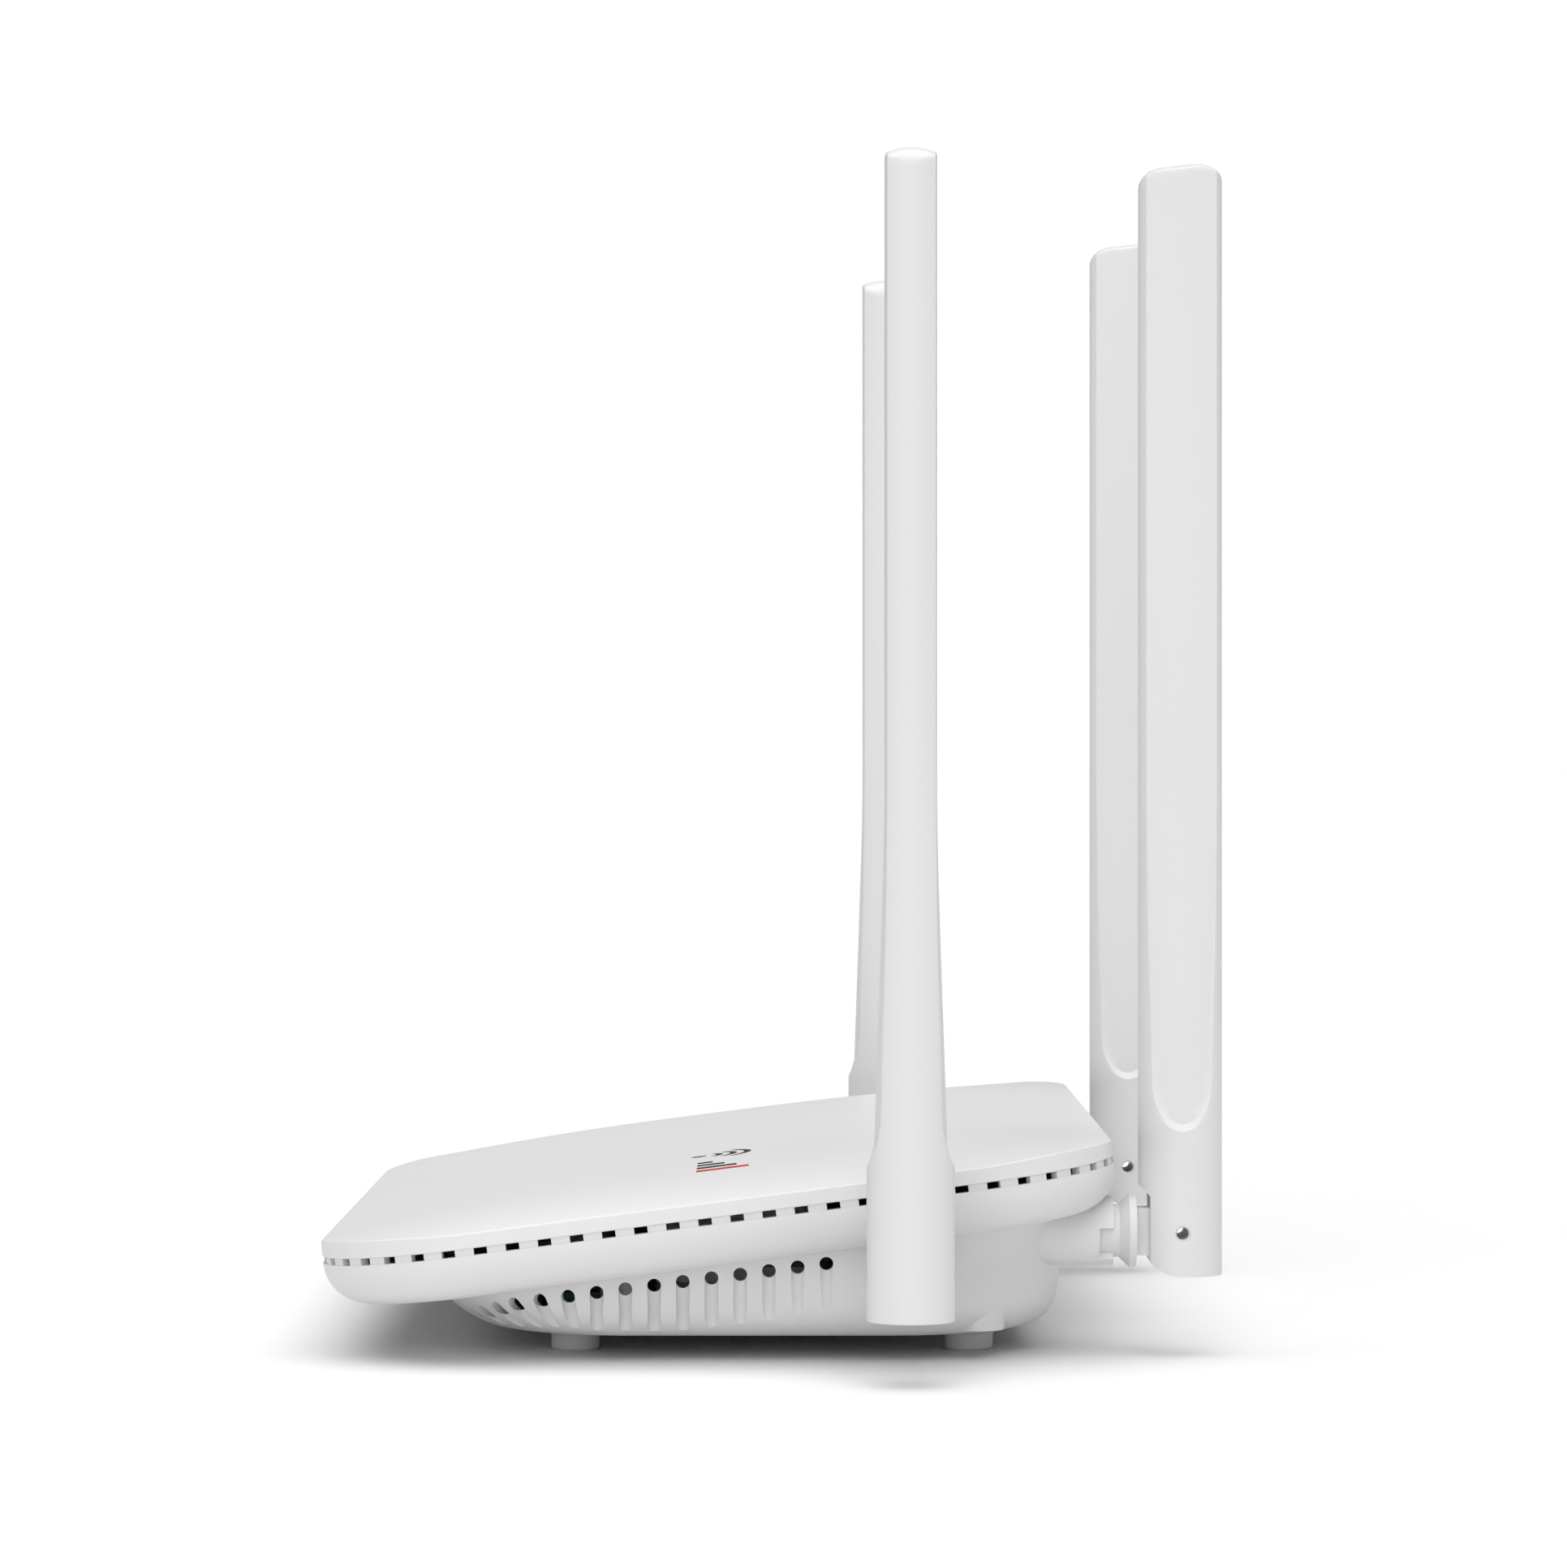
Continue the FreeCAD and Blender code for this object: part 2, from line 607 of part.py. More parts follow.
def keyhole_tools(s):
    tools = []
    low = s.plinth_base - 1
    tall = s.plinth_wall + 3
    for side in (1, -1):
        x = side * s.keyhole_spacing / 2
        tools.append(upright(s.keyhole_entry, low, low + tall, x, 0))
        neck = Part.makeBox(s.keyhole_neck * 2, s.keyhole_entry + 4, tall, Vector(x - s.keyhole_neck, 0, low))
        tools.append(neck)
        tools.append(upright(s.keyhole_neck, low, low + tall, x, s.keyhole_entry + 4))
    return tools


def light_places(s):
    z = s.seam_front - s.light_drop
    middle = (s.light_count - 1) / 2
    return [((index - middle) * s.light_pitch, z) for index in range(int(s.light_count))]


def standoff_places(s):
    half_width = s.case_width / 2 - s.board_margin - 6
    front = s.case_front + s.board_front_gap + 8
    rear = s.case_front + s.case_depth - s.board_rear_gap - 22
    return [(x, y) for y in (front, rear) for x in (-half_width, half_width)]


def bottom_shape(s, outer):
    inner = case_inner(s)
    shell = outer.cut(inner)
    strip = slotted_strip_tool(s)
    strip.Placement = seam_place(s)
    slots = slot_tools(s)
    slots.Placement = seam_place(s)
    shell = shell.cut(strip).cut(slots)
    shell = shell.cut(vent_tools(s))
    for _, pin, turn, inner_end in knuckle_frames(s):
        collar = collar_solid(s, inner_end)
        collar.Placement = frame_place(pin, turn)
        bore = along_axis(s.shaft_radius + s.running_gap, 0, inner_end + 1)
        bore.Placement = frame_place(pin, turn)
        shell = shell.fuse(collar).cut(bore)
    floor = s.plinth_base + s.plinth_wall / 2
    for x, y in post_places(s):
        top = seam_height(s, y) - s.post_split
        post = upright(s.post_radius, floor, top, x, y)
        shell = shell.fuse(post).cut(upright(s.screw_radius + 0.2, 0, top + 1, x, y))
        shell = shell.cut(upright(s.screw_head + 0.3, 0, s.plinth_base + 4, x, y))
    for x, y in standoff_places(s):
        shell = shell.fuse(upright(s.standoff_radius, floor, s.board_base, x, y))
        shell = shell.cut(upright(s.standoff_pilot, s.plinth_base + s.standoff_floor, s.board_base + 1, x, y))
    for tool in rear_openings(s) + keyhole_tools(s):
        shell = shell.cut(tool)
    for x, z in light_places(s):
        start = Vector(x, s.case_front - 1, z)
        shell = shell.cut(Part.makeCylinder(s.light_radius, s.case_wall + 4, start, Vector(0, 1, 0)))
    return shell.Solids[0]


# ---- knuckle, clip and aerial, each drawn with its hinge pin on the origin ------------------------
def knuckle_shape(s, inner_end):
    """Disc, cone and shaft behind a tongue that the hinge pin passes through."""
    half_thick = s.tongue_thick / 2
    half_height = s.tongue_height / 2
    tongue = Part.makeBox(s.tongue_thick, s.disc_face, s.tongue_height,
                          Vector(-half_thick, -s.disc_face, -half_height))
    nose = Part.makeCylinder(half_height, s.tongue_thick, Vector(-half_thick, 0, 0), Vector(1, 0, 0))
    disc_back = s.disc_face + s.disc_thick
    groove = inner_end + s.body_gap
    end = groove + s.clip_thick + 1.2
    body = tongue.fuse(nose)
    body = body.fuse(along_axis(s.disc_radius, s.disc_face, disc_back))
    body = body.fuse(along_axis(s.cone_radius, disc_back, s.cone_end, s.shaft_radius))
    body = body.fuse(along_axis(s.shaft_radius, s.cone_end, end))
    ring = along_axis(s.shaft_radius + 1, groove, groove + s.clip_thick)
    ring = ring.cut(along_axis(s.shaft_radius - s.groove_depth, groove - 1, groove + s.clip_thick + 1))
    hole = Part.makeCylinder(s.pin_radius + s.running_gap, s.tongue_thick + 2,
                             Vector(-half_thick - 1, 0, 0), Vector(1, 0, 0))
    bore = along_axis(s.shaft_lead_bore, s.pin_radius + 2.2, end + 1)
    return solid_of(body.cut([ring, hole, bore]))


def clip_shape(s, inner_end):
    """A horseshoe clip that snaps into the shaft's groove inside the case."""
    start = inner_end + s.body_gap
    ring = along_axis(s.clip_radius, start, start + s.clip_thick)
    hole = along_axis(s.shaft_radius - s.groove_depth, start - 1, start + s.clip_thick + 1)
    mouth_width = (s.shaft_radius - s.groove_depth) * 1.5
    mouth = Part.makeBox(mouth_width, s.clip_thick + 2, s.clip_radius * 2,
                         Vector(-mouth_width / 2, -start - s.clip_thick - 1, -s.clip_radius * 2))
    return solid_of(ring.cut([hole, mouth]))


def blade_section(s, z, middle, ends):
    """An outline across the blade: two shallow arcs, wider than the aerial itself."""
    wide = s.aerial_width / 2 * SECTION_REACH
    front = Part.Arc(Vector(ends, -wide, z), Vector(middle, 0, z), Vector(ends, wide, z)).toShape()
    back = Part.Arc(Vector(-ends, wide, z), Vector(-middle, 0, z), Vector(-ends, -wide, z)).toShape()
    sides = [Part.LineSegment(Vector(ends, wide, z), Vector(-ends, wide, z)).toShape(),
             Part.LineSegment(Vector(-ends, -wide, z), Vector(ends, -wide, z)).toShape()]
    return Part.Wire([front, sides[0], back, sides[1]])


def blade_halves(s, z):
    """Half thickness of the blade at a height above the pin: in its middle, and out where its arcs end."""
    left = max(0.0, 1 - (z - s.shoulder_end) / (s.blade_even - s.shoulder_end))
    root = s.aerial_width / 2 - s.root_setback
    middle = s.blade_middle + (root - s.blade_middle) * left ** 1.5 * (1.5 - 0.5 * left)
    flare = 0.31 * left ** 1.3 + 0.69 * math.exp((s.shoulder_end - z) / 2.6) * left
    edge = s.blade_edge + (root - s.root_crown - s.blade_edge) * flare
    edge_width = math.sqrt((s.aerial_width / 2) ** 2 - edge ** 2)
    drop = (middle - edge) * (s.aerial_width / 2 * SECTION_REACH / edge_width) ** 2
    return middle, middle - drop


def aerial_side_outline(s):
    """The aerial seen along its pin: a rounded heel, a flat above it, and a sloping crowned top."""
    reach = s.aerial_width / 2
    top = s.aerial_top
    heel = math.sqrt(s.aerial_base ** 2 - s.aerial_flat ** 2)
    turn = math.radians(22)
    heel_middle = Vector(0, -s.aerial_base * math.sin(turn), -s.aerial_base * math.cos(turn))
    flat_top = s.slot_top + 0.2
    slope = reach - s.aerial_flat
    outer_start = reach - s.top_outer_corner
    inner_start = s.top_inner_corner - reach
    inner_top = top - s.top_slope
    diagonal = math.sqrt(0.5)
    points = [
        Vector(0, -s.aerial_flat, flat_top),
        Vector(0, -s.aerial_flat, -heel),
        Vector(0, 0, -s.aerial_base),
        Vector(0, reach + 1, -s.aerial_base),
        Vector(0, reach + 1, top - s.top_outer_fall),
        Vector(0, reach, top - s.top_outer_fall),
        Vector(0, outer_start, top),
        Vector(0, inner_start, inner_top),
        Vector(0, -reach, inner_top - s.top_inner_fall),
        Vector(0, -reach - 1, inner_top - s.top_inner_fall),
        Vector(0, -reach - 1, flat_top + slope + 1),
    ]
    outer_middle = Vector(0, outer_start + s.top_outer_corner * diagonal,
                          top - s.top_outer_fall * (1 - diagonal))
    inner_middle = Vector(0, inner_start - s.top_inner_corner * diagonal,
                          inner_top - s.top_inner_fall * (1 - diagonal))
    middles = {1: heel_middle, 5: outer_middle, 7: inner_middle}
    edges = []
    for index, start in enumerate(points):
        end = points[(index + 1) % len(points)]
        if index in middles:
            edges.append(Part.Arc(start, middles[index], end).toShape())
        else:
            edges.append(Part.LineSegment(start, end).toShape())
    return Part.Wire(edges)


def aerial_solid(s):
    reach = s.aerial_width / 2
    base = Part.makeCylinder(reach, s.aerial_top + s.aerial_base + 1, Vector(0, 0, -s.aerial_base))
    wide = blade_section(s, s.shoulder_start, reach + 0.15, reach * 0.85)
    root = blade_section(s, s.shoulder_end, *blade_halves(s, s.shoulder_end))
    shoulder = Part.makeLoft([wide, root], True, True)
    heights = [s.shoulder_end + (s.blade_even - s.shoulder_end) * step for step in
               (0, 0.04, 0.1, 0.18, 0.3, 0.44, 0.6, 0.8, 1)]
    flare = Part.makeLoft([blade_section(s, z, *blade_halves(s, z)) for z in heights], True, False)
    even = Part.Face(blade_section(s, s.blade_even, *blade_halves(s, s.blade_even)))
    even = even.extrude(Vector(0, 0, s.aerial_top + 2 - s.blade_even))
    foot = Part.makeCylinder(reach, s.shoulder_start + s.aerial_base, Vector(0, 0, -s.aerial_base))
    blade = [part.common(base) for part in (shoulder, flare, even)]
    body = foot.fuse(blade)
    side = Part.Face(aerial_side_outline(s)).extrude(Vector(2 * reach + 2, 0, 0))
    side.translate(Vector(-reach - 1, 0, 0))
    crown_start = Vector(-s.blade_middle * 1.2, -reach - 1, s.aerial_top - s.top_crown)
    crown_end = Vector(s.blade_middle * 1.2, -reach - 1, s.aerial_top - s.top_crown)
    crown = Part.Arc(crown_start, Vector(0, -reach - 1, s.aerial_top), crown_end).toShape()
    lift = Vector(0, 0, 9)
    above = Part.makePolygon([crown_end, crown_end + lift, crown_start + lift, crown_start])
    lid = Part.Face(Part.Wire([crown] + above.Edges)).extrude(Vector(0, 2 * reach + 2, 0))
    return body.common(side).cut(lid)


def slot_solid(s):
    """The room that the tongue needs from upright to folded out."""
    wide = s.tongue_thick + 2 * s.body_gap
    nose = s.tongue_height / 2 + s.body_gap
    deep = s.aerial_width
    start = Vector(-wide / 2, 0, 0)
    slot = Part.makeCylinder(nose, wide, start, Vector(1, 0, 0))
    front = Part.makeBox(wide, deep, s.slot_top + deep, Vector(-wide / 2, -deep, -deep))
    under = Part.makeBox(wide, nose, deep, Vector(-wide / 2, 0, -deep))
    return slot.fuse([front, under])


def blade_cavity(s):
    half_thick = s.blade_edge - s.blade_wall
    half_width = s.radiator_width / 2 + 0.5
    top = s.aerial_top - s.top_slope - s.top_inner_fall - s.blade_wall
    cavity = Part.makeBox(2 * half_thick, 2 * half_width, top - s.blade_cavity_start,
                          Vector(-half_thick, -half_width, s.blade_cavity_start))
    lead_way = upright(s.lead_radius + 0.5, s.slot_top - 1, s.blade_cavity_start + 1, 0, 0)
    return cavity.fuse(lead_way)


def aerial_shape(s):
    reach = s.aerial_width / 2
    pin_hole = Part.makeCylinder(s.pin_radius, 2 * reach + 2, Vector(-reach - 1, 0, 0), Vector(1, 0, 0))
    return solid_of(aerial_solid(s).cut([slot_solid(s), blade_cavity(s), pin_hole]))


def pin_shape(s):
    length = s.aerial_width - 2 * s.pin_recess
    start = Vector(-length / 2, 0, 0)
    outside = Part.makeCylinder(s.pin_radius, length, start, Vector(1, 0, 0))
    return outside.cut(Part.makeCylinder(s.pin_radius - s.pin_wall, length, start, Vector(1, 0, 0)))


def radiator_shape(s):
    low = s.blade_cavity_start + 20
    corner = Vector(-s.radiator_thick / 2, -s.radiator_width / 2, low)
    return Part.makeBox(s.radiator_thick, s.radiator_width, s.radiator_length, corner)


def blade_lead_shape(s):
    return upright(s.lead_radius, s.slot_top + 0.3, s.blade_cavity_start + 20, 0, 0)


def make_aerials(s):
    aerial, hinge_pin = aerial_shape(s), pin_shape(s)
    radiator, lead = radiator_shape(s), blade_lead_shape(s)
    for name, pin, turn, inner_end in knuckle_frames(s):
        place = frame_place(pin, turn)
        made = (
            ("knuckle", knuckle_shape(s, inner_end)),
            ("shaft_clip", clip_shape(s, inner_end)),
            ("aerial_cover", aerial),
            ("hinge_pin", hinge_pin),
            ("radiator", radiator),
            ("aerial_lead", lead),
        )
        for kind, shape in made:
            piece(feature(f"{kind}_{name}", shape.copy(), place), f"{kind}_{name}")


# ---- leads inside the case -------------------------------------------------------------------------
def rounded_route(points, radius):
    """Straight runs joined by arcs that touch both runs."""
    edges = []
    last = points[0]
    for before, corner, after in zip(points, points[1:], points[2:]):
        back = (before - corner).normalize()
        ahead = (after - corner).normalize()
        half = back.getAngle(ahead) / 2
        reach = radius / math.tan(half)
        start, end = corner + back * reach, corner + ahead * reach
        bisector = (back + ahead).normalize()
        middle = corner + bisector * (radius / math.sin(half) - radius)
        edges.append(Part.LineSegment(last, start).toShape())
        edges.append(Part.Arc(start, middle, end).toShape())
        last = end
    edges.append(Part.LineSegment(last, points[-1]).toShape())
    return Part.Wire(edges)


def tube(points, bend, radius):
    route = rounded_route(points, bend)
    direction = (points[1] - points[0]).normalize()
    section = Part.Wire([Part.Circle(points[0], direction, radius).toShape()])
    return route.makePipeShell([section], True, False)


def lead_route(s, pin, turn, inner_end):
    """From a board connector, up and across, then along the axis into the swivel shaft."""
    outward = Rotation(Vector(0, 0, 1), turn).multVec(Vector(0, 1, 0))
    side = 1 if pin.x > 0 else -1
    inside = pin - outward * (inner_end + 7)
    finish = pin - outward * (inner_end - 3)
    board_top = s.board_base + s.board_thick
    if turn == 0:
        foot = Vector(inside.x - side * 8, inside.y - 9, board_top + 1.4)
    else:
        foot = Vector(inside.x - side * 11, inside.y - 11, board_top + 1.4)
    return [foot, Vector(foot.x, foot.y, inside.z), inside, finish]


def make_leads(s):
    for name, pin, turn, inner_end in knuckle_frames(s):
        points = lead_route(s, pin, turn, inner_end)
        shape = tube(points, 3.0, s.lead_radius)
        foot = points[0]
        plug = Part.makeCylinder(1.4, 1.4, foot - Vector(0, 0, 1.4))
        piece(feature(f"board_lead_{name}", solid_of(shape.fuse(plug))), f"board_lead_{name}")


# ---- board and what stands on it -------------------------------------------------------------------
BOARD_TOP = "board_base + board_thick"
REAR = "case_front + case_depth"
SOCKET_FACE = f"({REAR}) - socket_setback"
BOARD_FRONT = "case_front + board_front_gap"
CAPACITOR_REAR = f"{SOCKET_FACE} - dc_jack_depth - coil_gap"
CHIP_MIDDLE = (f"({BOARD_FRONT}) + chip_share * ({CAPACITOR_REAR} - capacitor_pitch - capacitor_radius"
               f" - ({BOARD_FRONT}))")


def make_board(s):
    body = new_body("board_blank")
    half = "(case_width / 2 - board_margin)"
    front, rear = BOARD_FRONT, f"{REAR} - board_rear_gap"
    outline = [(f"-{half}", front), (half, front), (half, rear), (f"-{half}", rear)]
    pad(body, sketch_on(body, "XY_Plane", "board_outline", outline), "board_thick")
    place_body(body, (0, 0, "board_base"))
    holes = [feature(f"board_hole_{index}", upright(1.3, s.board_base - 1, s.board_base + 4, x, y))
             for index, (x, y) in enumerate(standoff_places(s))]
    piece(cut("main_board", body, holes), "main_board")


def make_screws(s):
    screws = []
    for x, y in standoff_places(s):
        top = s.board_base + s.board_thick
        shank = upright(s.standoff_pilot, s.plinth_base + s.standoff_floor + 0.2, top, x, y)
        screws.append(shank.fuse(upright(s.board_screw_head, top, top + 1.4, x, y)))
    piece(feature("board_screws", Part.makeCompound(screws)), "board_screws")
    screws = []
    for x, y in post_places(s):
        low = s.plinth_base + 1.8
        head_top = s.plinth_base + 4
        end = seam_height(s, y) - s.post_split + s.screw_bite
        screw = upright(s.screw_head, low, head_top, x, y).fuse(upright(s.screw_radius, head_top, end, x, y))
        cross = [Part.makeBox(3, 0.7, 1.2, Vector(x - 1.5, y - 0.35, low)),
                 Part.makeBox(0.7, 3, 1.2, Vector(x - 0.35, y - 1.5, low))]
        screws.append(screw.cut(cross))
    piece(feature("case_screws", Part.makeCompound(screws)), "case_screws")


def make_network_sockets():
    for label, centre, count in (("wan_jack", "wan_jack_x", 1), ("lan_jacks", "lan_jack_x", 2)):
        width = f"jack_width * {count}"
        size = (width, "jack_depth", "jack_height")
        body = centred_box(f"{label}_body", size, (centre, f"{SOCKET_FACE} - jack_depth / 2", BOARD_TOP))
        tools = []
        for index in range(count):
            middle = f"({centre}) + ({index} - ({count} - 1) / 2) * jack_width"
            start = f"{SOCKET_FACE} - plug_depth / 2 + 0.5"
            mouth = ("plug_width", "plug_depth + 1", "plug_height")
            tools.append(centred_box(f"{label}_mouth_{index}", mouth, (middle, start, f"{BOARD_TOP} + 4.1")))
            latch = ("plug_width / 2", "plug_depth + 1", "3.2")
            tools.append(centred_box(f"{label}_latch_{index}", latch, (middle, start, f"{BOARD_TOP} + 1.2")))
        piece(cut(label, body, tools), label)


def make_power_socket():
    height = f"({BOARD_TOP}) + dc_jack_height / 2"
    size = ("dc_jack_width", "dc_jack_depth", "dc_jack_height")
    body = centred_box("dc_body", size, ("dc_jack_x", f"{SOCKET_FACE} - dc_jack_depth / 2", BOARD_TOP))
    bore_start = ("dc_jack_x", f"{SOCKET_FACE} - dc_jack_depth + 3.01", height)
    bore = rod("dc_bore_tool", "dc_bore", "dc_jack_depth - 3", bore_start, TO_Y)
    pin = rod("dc_centre_pin", "dc_pin", "dc_jack_depth - 4.5",
              ("dc_jack_x", f"{SOCKET_FACE} - dc_jack_depth + 2.5", height), TO_Y)
    piece(fuse("dc_jack", [cut("dc_bored", body, [bore]), pin]), "dc_jack")


def make_heat_sink():
    middle = CHIP_MIDDLE
    pad_low = f"{BOARD_TOP} + processor_thick"
    sink_low = f"{pad_low} + pad_thick"
    parts = [centred_box("sink_plate", ("sink_side", "sink_side", "sink_base"), (0, middle, sink_low))]
    fins = 8
    for index in range(fins):
        x = f"(sink_side - sink_fin_thick) * ({index} / {fins - 1} - 0.5)"
        fin = ("sink_fin_thick", "sink_side", "sink_fin + sink_base")
        parts.append(centred_box(f"sink_rib_{index}", fin, (x, middle, sink_low)))
    piece(fuse("heat_sink", parts), "heat_sink")
    pad_size = ("pad_side", "pad_side", "pad_thick")
    piece(centred_box("thermal_pad", pad_size, (0, middle, pad_low)), "thermal_pad")
    chip = ("processor_side", "processor_side", "processor_thick")
    piece(centred_box("processor_chip", chip, (0, middle, BOARD_TOP)), "processor_chip")


def make_board_parts():
    middle = CHIP_MIDDLE
    chips = [centred_box(f"memory_{index}", (8, 12, 1.1), (x, middle, BOARD_TOP))
             for index, x in enumerate(("-memory_x", "memory_x"))]
    piece(group("memory_chips", chips), "memory_chips")
    for label, x in (("shield_can_low_band", "-can_x"), ("shield_can_high_band", "can_x")):
        can = centred_box(f"{label}_outer", ("can_wide", "can_deep", "can_tall"), (x, middle, BOARD_TOP))
        inside = ("can_wide - 2 * can_wall", "can_deep - 2 * can_wall", "can_tall - can_wall")
        hollow = centred_box(f"{label}_hollow", inside, (x, middle, BOARD_TOP))
        piece(cut(label, can, [hollow]), label)
    coil_middle = f"{SOCKET_FACE} - jack_depth - coil_gap"
    coils = [centred_box(f"transformer_{index}", (14, 8, 5), (x, coil_middle, BOARD_TOP))
             for index, x in enumerate(("wan_jack_x", "lan_jack_x - 8", "lan_jack_x + 8"))]
    piece(group("line_transformers", coils), "line_transformers")
    cans = []
    for index in range(4):
        place = (f"dc_jack_x - 5 + {index % 2} * capacitor_pitch",
                 f"{CAPACITOR_REAR} - {index // 2} * capacitor_pitch", BOARD_TOP)
        cans.append(rod(f"capacitor_{index}", "capacitor_radius", 9, place))
    piece(group("capacitors", cans), "capacitors")
    chokes = []
    for index in range(2):
        place = (f"pair_button_x - 1 + {index} * 8", f"{SOCKET_FACE} - 24", BOARD_TOP)
        chokes.append(centred_box(f"choke_{index}", (6, 6, 3), place))
    piece(group("inductors", chokes), "inductors")


def make_lights(s):
    face = s.case_front + s.board_front_gap
    guides, lamps = [], []
    places = light_places(s)
    bar_y = s.case_front + 12
    board_top = s.board_base + s.board_thick
    surface = 0.35
    for x, z in places:
        start = Vector(x, s.case_front + surface, z)
        guides.append(Part.makeCylinder(s.light_radius, face - 0.6 - start.y, start, Vector(0, 1, 0)))
        lamps.append(Part.makeBox(3, 3, z + 1.4 - board_top, Vector(x - 1.5, face, board_top)))
    width = places[-1][0] - places[0][0] + 4
    bar = Part.makeBox(width, 2, 1.6, Vector(-width / 2, bar_y, places[0][1] - 0.2))
    piece(feature("light_guide", solid_of(bar.fuse(guides))), "light_guide")
    piece(feature("indicator_lamps", Part.makeCompound(lamps)), "indicator_lamps")


def make_feet(outer):
    rows = (("front", "case_front + foot_front_gap"), ("rear", f"{REAR} - foot_rear_gap"))
    for row, y in rows:
        for side, x in (("left", "-foot_reach"), ("right", "foot_reach")):
            name = f"foot_{row}_{side}"
            body = new_body(f"{name}_turned")
            profile = [("0", "0"), ("foot_radius - 0.4", "0"), ("foot_radius", "0.4"),
                       ("foot_radius", "plinth_base - 1.2"), ("foot_flare", "plinth_base"),
                       ("foot_flare", "plinth_base + 0.5"), ("0", "plinth_base + 0.5")]
            spin(body, sketch_on(body, "XZ_Plane", f"{name}_profile", profile))
            place_body(body, (x, y, 0))
            piece(cut(name, body, [outer]), name)


def make_buttons():
    wall = f"({REAR}) - plinth_rear_inset - plinth_rear_draft / 2"
    inside = f"({wall}) - plinth_wall - 1"
    for label, x in (("power_button", "power_button_x"), ("pair_button", "pair_button_x")):
        start = f"({inside}) - button_stem"
        stem = rod(f"{label}_stem", "button_radius", f"({wall}) + button_stand - ({start})",
                   (x, start, "button_height"), TO_Y)
        flange_start = (x, f"({inside}) - 1.4", "button_height")
        flange = rod(f"{label}_flange", "button_radius + 1", "1", flange_start, TO_Y)
        piece(fuse(label, [stem, flange]), label)
        depth = 5
        back = f"({inside}) - button_stem - button_travel - 0.4"
        switch = centred_box(f"{label}_switch", (6, depth, f"button_height + 3 - ({BOARD_TOP})"),
                             (x, f"({back}) - {depth} / 2", BOARD_TOP))
        switch.Label = f"{label}_switch_body"
        yield switch


# ---- build and export --------------------------------------------------------------------------------
def make_all(s):
    outer_shape = case_outer(s)
    outer = feature("case_outer_solid", outer_shape)
    piece(feature("top_cover", cover_shape(s)), "top_cover")
    piece(feature("bottom_case", bottom_shape(s, outer_shape)), "bottom_case")
    make_feet(outer)
    make_aerials(s)
    make_leads(s)
    make_board(s)
    make_screws(s)
    make_network_sockets()
    make_power_socket()
    make_heat_sink()
    make_board_parts()
    make_lights(s)
    switches = list(make_buttons())
    piece(group("tact_switches", switches), "tact_switches")


def check_and_export():
    doc.recompute()
    for item in doc.Objects:
        wrong = [state for state in item.State if state in ("Invalid", "Error")]
        if wrong:
            raise RuntimeError(f"{item.Name} is {wrong}")
    os.makedirs("parts", exist_ok=True)
    for item in pieces:
        shape = item.Shape
        if shape.isNull() or not shape.isValid() or not shape.Solids:
            raise RuntimeError(f"{item.Label} has no valid solid")
    for item in pieces:
        item.Shape.exportStep(os.path.join("parts", f"{item.Label}.step"))
    print(len(pieces), "pieces")


sheet = make_sheet()
make_all(Size(sheet))
check_and_export()
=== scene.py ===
"""Looks of a desktop wireless range extender, built around its fixed model."""

import json
import math

import bmesh
import bpy
import numpy as np
from mathutils import Matrix, Vector


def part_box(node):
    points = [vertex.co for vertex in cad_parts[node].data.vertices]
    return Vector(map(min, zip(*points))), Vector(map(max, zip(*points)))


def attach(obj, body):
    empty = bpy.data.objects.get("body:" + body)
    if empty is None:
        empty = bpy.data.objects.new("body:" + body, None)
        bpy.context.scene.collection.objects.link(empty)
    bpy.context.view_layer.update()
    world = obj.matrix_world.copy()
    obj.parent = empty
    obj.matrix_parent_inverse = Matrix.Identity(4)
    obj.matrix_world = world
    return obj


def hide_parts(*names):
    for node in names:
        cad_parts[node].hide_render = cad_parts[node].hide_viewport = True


bl_info = {
    "name": "Wireless range extender looks",
    "version": (1, 0, 0),
    "blender": (4, 5, 0),
    "location": "3D View > Sidebar > Extender",
    "description": "Builds the covers, aerials, finishes and studio of a wireless range extender",
    "category": "Object",
}

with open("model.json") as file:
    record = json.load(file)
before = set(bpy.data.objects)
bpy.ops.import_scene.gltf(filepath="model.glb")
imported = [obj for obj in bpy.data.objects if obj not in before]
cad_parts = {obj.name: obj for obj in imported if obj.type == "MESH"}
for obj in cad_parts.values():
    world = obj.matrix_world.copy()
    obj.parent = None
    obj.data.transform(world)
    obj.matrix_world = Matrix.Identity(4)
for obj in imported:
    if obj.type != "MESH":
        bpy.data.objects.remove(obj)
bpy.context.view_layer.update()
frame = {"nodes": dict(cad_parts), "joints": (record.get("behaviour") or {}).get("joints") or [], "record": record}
nodes = frame["nodes"]
joints = {joint["name"]: joint for joint in frame["joints"]}
AERIALS = ("rear_right", "rear_left", "side_right", "side_left")
COVER_LOW, COVER_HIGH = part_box("top_cover")
AERIAL_LOW, AERIAL_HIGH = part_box("aerial_cover_rear_right")


